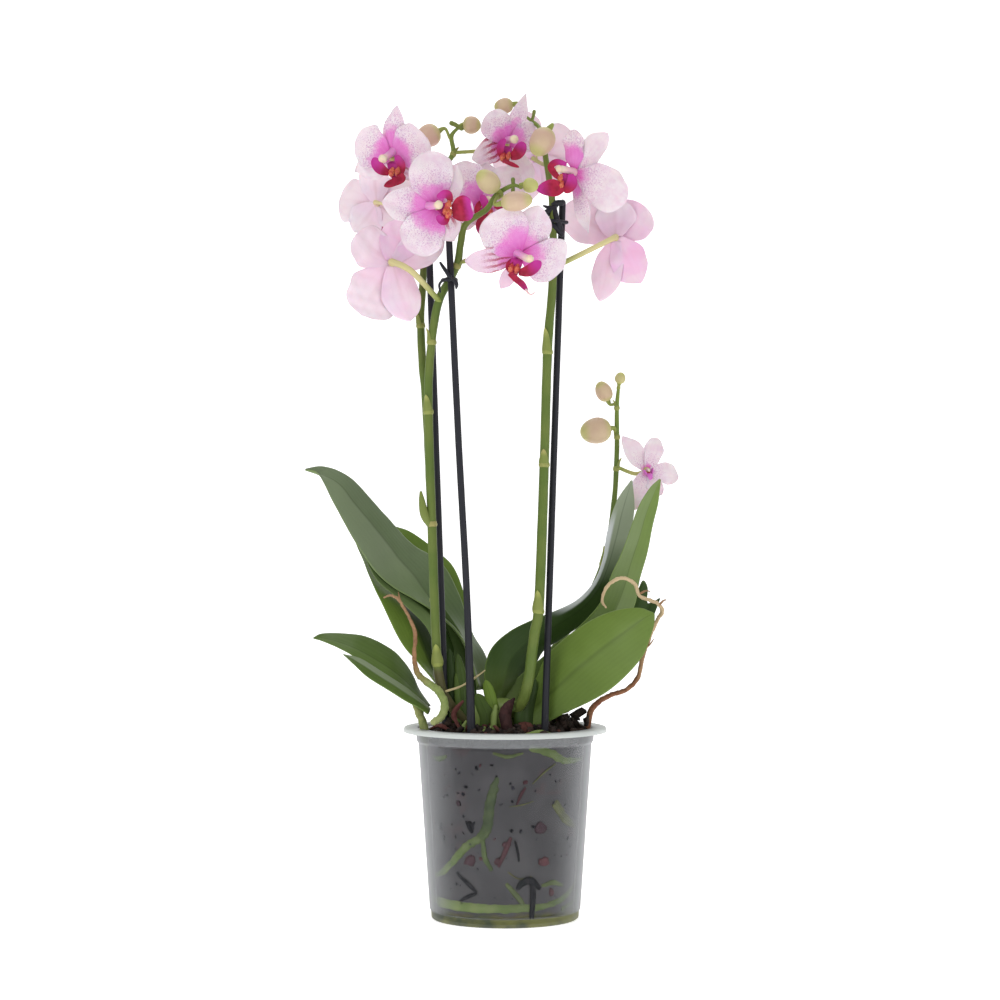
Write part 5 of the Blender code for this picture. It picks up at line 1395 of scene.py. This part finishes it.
def turned_lip(bloom, column, cap, cap_radius, callus, flaps, whiskers=(), pink=1.0):
    """The middle of a flower seen from the front, each piece on offsets (X, Y, Z) from its middle:
    column and cap, orange callus, a throat between them, then the lobes and the tongue."""
    middle = bloom.centre
    stem = rod(middle + np.asarray(column, float), [2.5, 2.1, 2.2], 18, 26)
    stem.marks["tint"] = triples(pink * (1 - eased(stem.marks["place"][:, 1], 0.5, 1.0)))
    tip = middle + np.asarray(cap, float)
    way = unit(np.asarray(cap, float) - np.asarray(column[1], float))
    anther = rod([tip - way * 1.2, tip, tip + way * 0.9], np.array((0.9, 1.0, 0.8)) * cap_radius,
                 18, 14, dome=(0.6, 0.6), rough=0.1, grain=3)
    parts = [stem, anther.tinted(0, 0, 0)]
    for spot, radius in callus:
        spot = middle + np.asarray(spot, float)
        lump = rod([spot + (0.6, 1.2, 1.8), spot + (0, 0.6, 0), spot + (-0.4, 0.8, -1.6)],
                   np.array((0.6, 0.9, 0.6)) * radius, 14, 20, rough=0.35, grain=1.8)
        parts.append(lump.tinted(0, 1, 0))
    low = np.mean([spot for spot, _ in callus], axis=0)
    throat = np.array((low + (0, 3.5, -3.5), 0.6 * low + (0, -0.5, 0), 0.25 * low + (0, 0.2, 0)))
    parts.append(flap(middle, throat, 3.6, "lobe", (-0.35, 0.8, 0), 9))
    parts += [flap(middle, *piece, seed=k) for k, piece in enumerate(flaps)]
    parts += [rod(middle + np.asarray(path, float), [0.8, 0.5, 0.4, 0.2], 8, 20).tinted(0.4, 0, 0)
              for path in whiskers]
    return joined(parts)


# Flowers that show their lip. Flaps: path, half width, outline, (where crimson ends, how fast,
# lilac)
TURNED_LIPS = {
    "flower_top_left": dict(
        column=[(1.7, -1, 4.7), (-1.7, -5, 1.2), (-4.7, -8, -1.5)],
        cap=(-5.3, -9, -1.8), cap_radius=2.7,
        callus=[((0, -9.5, -9.4), 2.0), ((3.4, -9.5, -9), 2.0)],
        flaps=[([(-1.5, -8, -10), (-7, -9.5, -7.2), (-10.8, -8, -1)], 3.3, "lobe", (0.12, 1.5, 0)),
               ([(5, -8, -11), (5.6, -8.5, -5.8), (2.6, -6, 0.8)], 2.5, "lobe", (0.2, 1.4, 0)),
               ([(4.5, -9, -10.6), (5.7, -10.5, -13.5), (1.2, -12, -15.8), (-4.3, -12.5, -18)], 2.5,
                "strap", (0.9, 1.5, 0))]),
    "flower_left_middle": dict(
        column=[(-4.6, -1, 0.6), (-1.2, -5, 0.3), (1.2, -8, 0.3)],
        cap=(1.5, -9, 0.3), cap_radius=2.6,
        callus=[((6.8, -10, 0), 2.2), ((7, -10, -4.8), 2.2), ((5, -9, -3), 1.6)],
        flaps=[([(8.4, -8, 1.8), (6.2, -10, 6.2), (0.3, -9, 4.8)], 2.5, "lobe", (0.1, 1.4, 0)),
               ([(7, -8, -7), (4, -10, -9.4), (0.2, -9, -6.2)], 2.3, "lobe", (0.15, 1.6, 0)),
               ([(9.2, -8, -3.5), (15, -10.5, -2.4), (21.2, -9, -1.6)], 7.6, "lobe",
                (0.48, 3.0, 1))]),
    "flower_middle": dict(
        column=[(0, 0, 1), (2.5, -3, 2), (4, -5.5, 2.4)], cap=(4.6, -6, 2.4), cap_radius=1.9,
        callus=[((5.3, -8, -6.5), 1.8)],
        flaps=[([(0.8, -6, 2.4), (-2.1, -8, -2.4), (-2.9, -8, -7.7)], 1.8, "lobe", (1.3, 1, 0)),
               ([(2.6, -7, -4.7), (2, -8, 0), (0, -6, 5)], 2.3, "lobe", (-0.3, 1, 0)),
               ([(3.6, -7, -7), (1.0, -9, -13), (0.2, -9, -19.8)], 4.3, "sepal", (0.5, 1.4, 0)),
               ([(7.7, -6, -1.2), (12.5, -7, -1.8), (17.8, -7, -2.4)], 3.2, "lobe", (0.1, 1, 0))]),
    "flower_top_middle": dict(
        column=[(0, 0, 1.5), (2, -4, 1.5), (4, -7, 1.3)], cap=(4.6, -8, 1.2), cap_radius=2.6,
        callus=[((-2.4, -9.5, -9.6), 1.9), ((0.8, -9.5, -9), 1.8)],
        flaps=[([(-3, -8, -10), (-3.8, -9, -4.2), (-1.2, -6, 1.8)], 2.3, "lobe", (0.1, 1.4, 0)),
               ([(2.2, -8, -9.6), (7, -10, -7), (9.8, -8, -0.4)], 3.7, "lobe", (0.35, 1.9, 0)),
               ([(-3.2, -9, -11), (1.8, -11, -13.6), (7.3, -12, -16)], 1.3, "strap", (1.2, 1, 0))]),
    "flower_low_middle": dict(
        column=[(-3.5, -1, 2.3), (0.6, -5, -0.6), (4.6, -8, -2.9)],
        cap=(5.9, -9, -3.1), cap_radius=2.4,
        callus=[((-5.2, -9.5, -8.8), 2.0), ((-2, -9.5, -8.8), 2.0)],
        flaps=[([(-0.8, -8, -11), (6, -10, -9.6), (12, -9, -4.4)], 3.5, "lobe", (0.28, 1.8, 0)),
               ([(-5.2, -8, -11), (-6.6, -8, -7.5), (-4.6, -5, -2.6)], 1.8, "lobe", (1.0, 1, 0)),
               ([(-6, -9, -11.4), (-2.3, -11, -15), (1.2, -12, -18), (4.2, -12.5, -22)], 1.9,
                "strap", (0.35, 1, 0))],
        whiskers=[[(3.5, -12.5, -21.3), (5, -13, -23.4), (7, -13, -23.8), (8.8, -13, -22)]]),
    "flower_top_right": dict(
        column=[(0, 0, 0), (-4, -4, 0.6), (-8, -7, 0.9)],
        cap=(-9.8, -8, 0.9), cap_radius=2.3, pink=0.5,
        callus=[((-8.8, -9.5, -4.7), 1.7), ((-8.2, -9.5, -8.8), 1.8)],
        flaps=[([(-5.3, -6, 3.5), (-10.5, -8, 4.9), (-14.2, -9, 2.2), (-12.3, -9, -1.8),
                 (-8.2, -8, -6)], 2.0, "strap", (0.5, -2.0, 0)),
               ([(-2.6, -6, -2), (-2, -8, -7.6), (-6, -9, -13.2)], 3.3, "lobe", (0.9, -1.3, 0)),
               ([(-6.6, -9, -11), (-14, -11, -10.8), (-23, -11, -11.6)], 5.2, "leaf",
                (0.4, 1.7, 0))]),
}

# Flowers: middle, the way it faces, where its top sepal points (degrees from its right), tepals as
# (kind, degrees from its right, length, half width, changes), where its stalk leaves the spike and
# bends, changes to its lip, and how thick and how cream its stalk is
P, S = "petal", "sepal"
FLOWERS = {
    "flower_top_left": dict(
        centre=(-66, -26, 448), face=(-0.4, -0.85, -0.3), top=85,
        tepals=[(S, 77, 31, 6.5, dict(lift=-0.05, reach=0.6)), (P, 151, 25, 13, {}),
                (P, 24, 26.5, 13, {}), (S, 196, 28, 8, dict(lift=-0.1, reach=0.1)),
                (S, 322, 20, 7, dict(stripes=1.0))],
        near=(-41, 4, 427), bend=(-60, -12, 445)),
    "flower_far_left": dict(
        centre=(-76, 2, 424), face=(0.15, 0.96, -0.25), top=80,
        tepals=[(P, 8, 23.5, 14, dict(rosy=0)), (S, 80, 29, 9, dict(rosy=0)),
                (P, 150, 24, 12, dict(rosy=0)), (S, 215, 20, 9, dict(rosy=0)),
                (S, 305, 22, 11, dict(rosy=0))],
        near=(-47, -3, 396), bend=(-66, -8, 419), thick=0.8, cream=1.0),
    "flower_left_middle": dict(
        centre=(-39.5, -48, 417), face=(0.2, -0.95, -0.1), top=172,
        tepals=[(S, 176, 32, 10.5, dict(reach=0.5)), (P, 101, 32, 13, dict(reach=0.42)),
                (P, 243, 30, 13, dict(reach=0.5)), (S, 64, 27, 9, dict(reach=0.2)),
                (S, 300, 22, 9, dict(stripes=1.0))],
        near=(-24, -27, 408), bend=(-36, -38, 414)),
    "flower_middle": dict(
        centre=(-14, 4, 424), face=(0.15, -0.95, -0.2), top=80,
        tepals=[(P, 136, 29, 15, {}), (S, 84, 25, 10, {}), (P, 40, 29, 12, dict(reach=0.3)),
                (S, 218, 22, 8, {}), (S, 300, 21, 8, {})],
        near=(-38, 7, 438), bend=(-20, 13, 426)),
    "flower_top_middle": dict(
        centre=(1, 7, 461), face=(0.42, -0.86, -0.2), top=66,
        tepals=[(S, 71, 32, 5, dict(reach=0.45, outline="leaf")), (P, 130, 22, 10, {}),
                (P, 20, 22, 9, {}), (S, 208, 24, 8, dict(stripes=1.0)),
                (S, 306, 32, 7.5, dict(reach=0.05))],
        near=(-31, 14, 456), bend=(-9, 15, 458)),
    "flower_low_middle": dict(
        centre=(8.6, -33, 390.6), face=(0.38, -0.8, -0.42), top=110,
        tepals=[(S, 78, 31, 13.5, {}), (P, 133, 34, 15, {}),
                (S, 190, 34, 8.5, dict(stripes=0.9, rosy=0.5)),
                (S, 251, 23, 5, dict(rosy=0.7, reach=0.2)), (P, 354, 30.5, 14, dict(reach=0.45))],
        near=(-28, -25, 387), bend=(-1, -24, 390)),
    "flower_behind": dict(
        centre=(18, 36, 455), face=(0.15, 0.95, 0.1), top=80,
        tepals=[(P, 75, 30, 9, {}), (P, 3, 26, 13, {}), (P, 148, 28, 13, {}), (S, 215, 26, 9, {}),
                (S, 290, 30, 9, {})],
        near=(25, -7, 446), bend=(22, 18, 450)),
    "flower_top_right": dict(
        centre=(41, -17, 440.8), face=(-0.5, -0.83, -0.2), top=50,
        tepals=[(S, 42, 32, 8, dict(reach=0.1)), (P, 333, 37.5, 13, dict(reach=0.22)),
                (P, 84, 25, 7, dict(reach=0.7)), (S, 277, 36.5, 4.8, dict(reach=0.4)),
                (S, 200, 12, 5, {})],
        near=(27, -10, 430), bend=(38, -7, 436)),
    "flower_right": dict(
        centre=(66, 5, 404), face=(0.25, 0.93, -0.12), top=285,
        tepals=[(P, 30, 38, 13, dict(rosy=0.25)), (S, 86, 25, 12.5, dict(rosy=0.3)),
                (P, 132, 25.5, 14, dict(rosy=0.5)), (S, 240, 32, 11.5, dict(rosy=0.75)),
                (S, 283, 39, 9.5, dict(rosy=0.4))],
        near=(29, -14, 385), bend=(60, -5, 401), thick=1.4, cream=0.9),
    "flower_low_left": dict(
        centre=(-66, -28, 386), face=(-0.25, 0.93, -0.2), top=258,
        tepals=[(S, 153, 36, 11, {}), (S, 255, 36, 12, dict(rosy=0.4)), (P, 302, 37, 16, {}),
                (P, 40, 27, 13, {}), (S, 108, 29, 12, dict(rosy=0.6))],
        near=(-38.5, -24, 364.5), bend=(-54, -36, 380.5), lip=dict(size=0.5), thick=1.5, cream=0.8),
    "flower_small": dict(
        centre=(86, 34, 266), face=(0.25, -0.93, 0.1), top=100,
        tepals=[(S, 125, 25.5, 6, dict(reach=0.1)), (P, 69, 21, 6, dict(reach=0.15)),
                (P, 350, 20, 6.5, dict(reach=0.15)), (S, 299, 17.5, 5.5, dict(reach=0.1)),
                (S, 247, 27, 6.5, dict(reach=0.1))],
        near=(68, 38, 268), bend=(79, 40, 264), lip=dict(size=0.42, hue=(-2.2, 1, 0))),
}
LIP_FINISH = lip_finish()

for number, (name, shape) in enumerate(FLOWERS.items()):
    bloom = Bloom(shape["centre"], shape["face"], shape["top"])
    petals = [tepal(bloom, kind, angle, length, half, 5 * number + k, **extra)
              for k, (kind, angle, length, half, extra) in enumerate(shape["tepals"])]
    show(name + "_tepals", joined(petals), [PETAL], [name])
    if name in TURNED_LIPS:
        lip = turned_lip(bloom, **TURNED_LIPS[name])
    else:
        lip = lip_and_column(bloom, **shape.get("lip", {}))
    show(name + "_lip", lip, [COLUMN, LIP_FINISH])
    thick = shape.get("thick", 1.0)
    path = [bloom.centre - bloom.z * 0.3, bloom.centre - bloom.z * 3.0, shape["bend"],
            shape["near"]]
    stalk = rod(path, np.array((2.2, 1.35, 1.2, 1.1)) * (1, thick, thick, thick), 12, 40,
                rough=0.06)
    share = stalk.marks["place"][:, 1]
    stalk.marks["tint"] = triples(0.25 * (1 - share), 0.75 - 0.4 * share)
    stalk.marks["trim"] = triples(shape.get("cream", 0.3) * (1 - eased(share, 0.45, 1.0)))
    show(name + "_stalk", stalk, [STEM])


# ---------------------------------------------------------------- buds

# Buds: centre, the way its tip points, (length, radius), where its stalk leaves the spike, and
# (lime, pink)
BUDS = {
    "bud_top_left": ((-46, 14, 466), (-0.9, -0.1, -0.42), (15.0, 6.9), (-32, 14, 464), (0, 0.7)),
    "bud_top_second": ((-19.8, 14, 472.6), (1, -0.2, -0.1), (10.8, 5.3), (-27, 14, 472),
                       (0.1, 0.4)),
    "bud_top_third": ((-0.8, 16, 484.3), (-1, 0, -0.15), (11.4, 4.7), (11, 17, 479), (0.1, 0.4)),
    "bud_right_large": ((21.6, -20, 458), (-0.5, -0.35, -0.9), (18.4, 7.3), (21, 0, 465),
                        (0.05, 0.4)),
    "bud_front_round": ((-10, -46, 432), (-0.65, -0.4, 0.6), (16.2, 6.2), (-8, -36, 420),
                        (0.2, 0.1)),
    "bud_front_long": ((6.6, -55, 419.6), (1, -0.3, 0.1), (18.6, 5.7), (-4, -40, 426), (0, 0.2)),
    "bud_front_small": ((14.6, -46, 429.6), (1, 0, -0.1), (9.0, 4.3), (9, -43, 429), (0.75, 0)),
    "bud_young_upper": ((60, 38, 314), (-0.5, -0.3, 1), (13, 4.9), (68, 38, 305), (0.1, 0.6)),
    "bud_young_tip": ((70, 36, 322), (0.2, -0.3, 1), (7, 3.2), (69, 38, 316), (0.5, 0)),
    "bud_young_large": ((55, 34, 290), (-1, -0.2, -0.15), (19, 7.9), (68, 38, 287), (0.1, 0.2)),
}


def bud(centre, way, size, near, tint, seed):
    """A closed bud: a bar whose middle line runs as the cosine of even steps from 0 to 180
    degrees and its radius as their sine, slightly fuller at the heel, with three low ridges, and
    its stalk."""
    centre, near, way = np.asarray(centre, float), np.asarray(near, float), unit(way)
    length, radius = size
    heel = centre - way * length / 2
    turn = np.linspace(0, math.pi, 25)
    line = centre - way * (length / 2 * np.cos(turn))[:, None]
    swell = np.sin(turn) ** 0.92 * (1 + 0.1 * np.cos(turn))
    egg = rod(line, radius * swell, 30, 60, rough=0.12, grain=7, seed=seed, flutes=(3, 0.012),
              dome=(0, 0)).tinted(*tint, 0)
    back = min(4.0, 0.4 * np.linalg.norm(heel - near))
    stalk = rod([near, near + unit(heel - near) * 1.5 + (0, 0, 0.4), heel - way * back,
                 heel + way * 1.4], [1.3, 1.0, 1.0, 2.0], 12, 24)
    return joined([egg, stalk.finished(1).tinted(0.1, 0.35, 0.1)])


for seed, (name, (centre, way, size, near, tint)) in enumerate(BUDS.items()):
    show(name + "_egg", bud(centre, way, size, near, tint, seed), [BUD, STEM], [name])


# ---------------------------------------------------------------- clips

# Clips: stake, spike, height, the radius its band goes round at the stem, and claws: path from the
# stake as (X, Y, Z), radii
CLIPS = {
    "clip_left": ("stake_left_front", "spike_front_left", 377, 3.1, [
        ([(-6, -3, 9.3), (-4.5, -3.5, 7), (-2.5, -4, 4), (-0.5, -4, 1)], [0.9, 1.3, 1.4, 1.5]),
        ([(-1, -4, -0.5), (-4.5, -5, -1), (-6.6, -5, -3.5), (-6.2, -4.5, -7.5)],
         [1.4, 1.0, 0.9, 0.7]),
        ([(0.5, -4, 0), (2.8, -4.5, -1.6), (3.4, -4.5, -3.8), (3.2, -4, -5.2)],
         [1.3, 1.5, 1.4, 0.8])]),
    "clip_right": ("stake_right", "spike_right", 412, 2.5, [
        ([(-5.5, -6, 10), (-3, -6, 10.8), (-0.5, -5, 11)], [1.8, 2.3, 2.3]),
        ([(-4, -6, 9), (-7.5, -7, 8), (-10.6, -7, 9)], [1.8, 1.5, 0.8]),
        ([(-5, -6, 8), (-9, -7, 5), (-9.8, -7, 1), (-6, -7, -2.5)], [1.9, 2.4, 2.8, 2.2]),
        ([(-4.8, -6, 8), (-3.4, -7, 2), (-1.2, -6, -4), (0.2, -5, -9)], [2.1, 2.2, 2.3, 0.9]),
        ([(-8, -7, 0), (-4, -7, -3.5), (-0.5, -6, -7.5)], [2.0, 2.3, 1.8])]),
}
STAKE_HOLD = 2.0  # the radius a clip's band goes round at the stake
CLIP_BAND, CLIP_CLEAR = 0.8, 0.35  # half the band's thickness, and its gap to what it holds


def clip(stake, stem, stake_radius, stem_radius, claws):
    """A claw clip: a flat band on a path round stake and stem together, with curved claws."""
    apart = stem - stake
    apart[2] = 0
    x = unit(apart)
    y = np.cross(UP, x)
    level = stem * (1, 1, 0) + stake * (0, 0, 1)
    clear = CLIP_CLEAR + CLIP_BAND
    turns = np.linspace(math.pi / 2, 3 * math.pi / 2, 8)[:, None]
    round_stake = stake + (stake_radius + clear) * (x * np.cos(turns) + y * np.sin(turns))
    round_stem = level - (stem_radius + clear) * (x * np.cos(turns) + y * np.sin(turns))
    loop = np.vstack([round_stake, round_stem, round_stake[:1]])
    parts = [rod(loop, [CLIP_BAND] * 2, 10, 90, squash=1.3, first_side=y, dome=(0, 0))]
    for claw, thick in claws:
        parts.append(rod(stake + np.asarray(claw, float), thick, 12, 26, squash=0.8))
    return joined(parts)


for name, (stake, spike, height, hold, claws) in CLIPS.items():
    held = at_height(STAKES[stake], height)[0]
    stem = at_height(SPIKES[spike][0], height)[0]
    show(name + "_claw", clip(held, stem, STAKE_HOLD, hold, claws), [STAKE], [name])


# ---------------------------------------------------------------- floor, light and camera

# A sheet of paper, in metres: level, then bent up a quarter circle behind the plant to a wall
FRONT, BEND, BEND_RADIUS, TOP, HALF_WIDTH = -2.5, 3.0, 1.2, 6.0, 4.0
grid = np.linspace(0, 1, 40)
turn = grid[1:] * math.pi / 2
depth = np.concatenate([FRONT + (BEND - FRONT) * grid, BEND + BEND_RADIUS * np.sin(turn),
                        [BEND + BEND_RADIUS]])
height = np.concatenate([0 * grid, BEND_RADIUS * (1 - np.cos(turn)), [TOP]])
corners = np.stack([np.repeat([-HALF_WIDTH, HALF_WIDTH], len(depth)), np.tile(depth, 2),
                    np.tile(height, 2)], axis=1)
rows = np.arange(len(depth) - 1)
faces = np.stack([rows, rows + len(depth), rows + len(depth) + 1, rows + 1], axis=1)
floor_mesh = bpy.data.meshes.new("studio_floor")
floor_mesh.from_pydata(corners.tolist(), [], faces.tolist())
floor_mesh.polygons.foreach_set("use_smooth", np.full(len(rows), True))
paper = Finish("white_paper", Specular_IOR_Level=0.1, Emission_Color=(1, 1, 1, 1),
               Emission_Strength=0.6, Roughness=0.9)
mottle = paper.noise(paper.place(), 3.0)
paper.feed("Base Color", paper.mix(mottle, (250, 250, 250), (253, 253, 253)))
floor_mesh.materials.append(paper.material)
floor = placed("studio_floor", floor_mesh)

world = bpy.data.worlds.new("studio")
world.use_nodes = True
sky = world.node_tree.nodes["Background"].inputs
sky["Color"].default_value, sky["Strength"].default_value = (1, 1, 1, 1), 0.5


def soft_light(name, place, aim, size, power):
    """A square lamp at a place in metres, turned to what it lights."""
    lamp = bpy.data.lights.new(name, "AREA")
    lamp.energy, lamp.shape, lamp.size = power, "SQUARE", size
    made = placed(name, lamp)
    made.location = place
    way = unit(np.asarray(aim, float) - np.asarray(place, float))
    made.rotation_euler = (math.acos(-way[2]), 0, math.atan2(way[1], way[0]) - math.pi / 2)


soft_light("key", (-1.1, -1.5, 1.6), (0, 0, 0.25), 1.1, 14)
soft_light("fill", (1.4, -1.2, 0.9), (0, 0, 0.25), 1.2, 5.2)
soft_light("top", (0.1, 0.4, 1.9), (0, 0, 0.2), 1.2, 9)

lens = bpy.data.cameras.new("camera")
lens.lens, lens.sensor_width = 100, 36
camera = placed("camera", lens)
camera.location = (-0.003, -1.65, 0.248)
camera.rotation_euler = (math.pi / 2, 0, 0)

scene = bpy.context.scene
scene.world = world
scene.camera = camera
scene.view_settings.view_transform = "Standard"
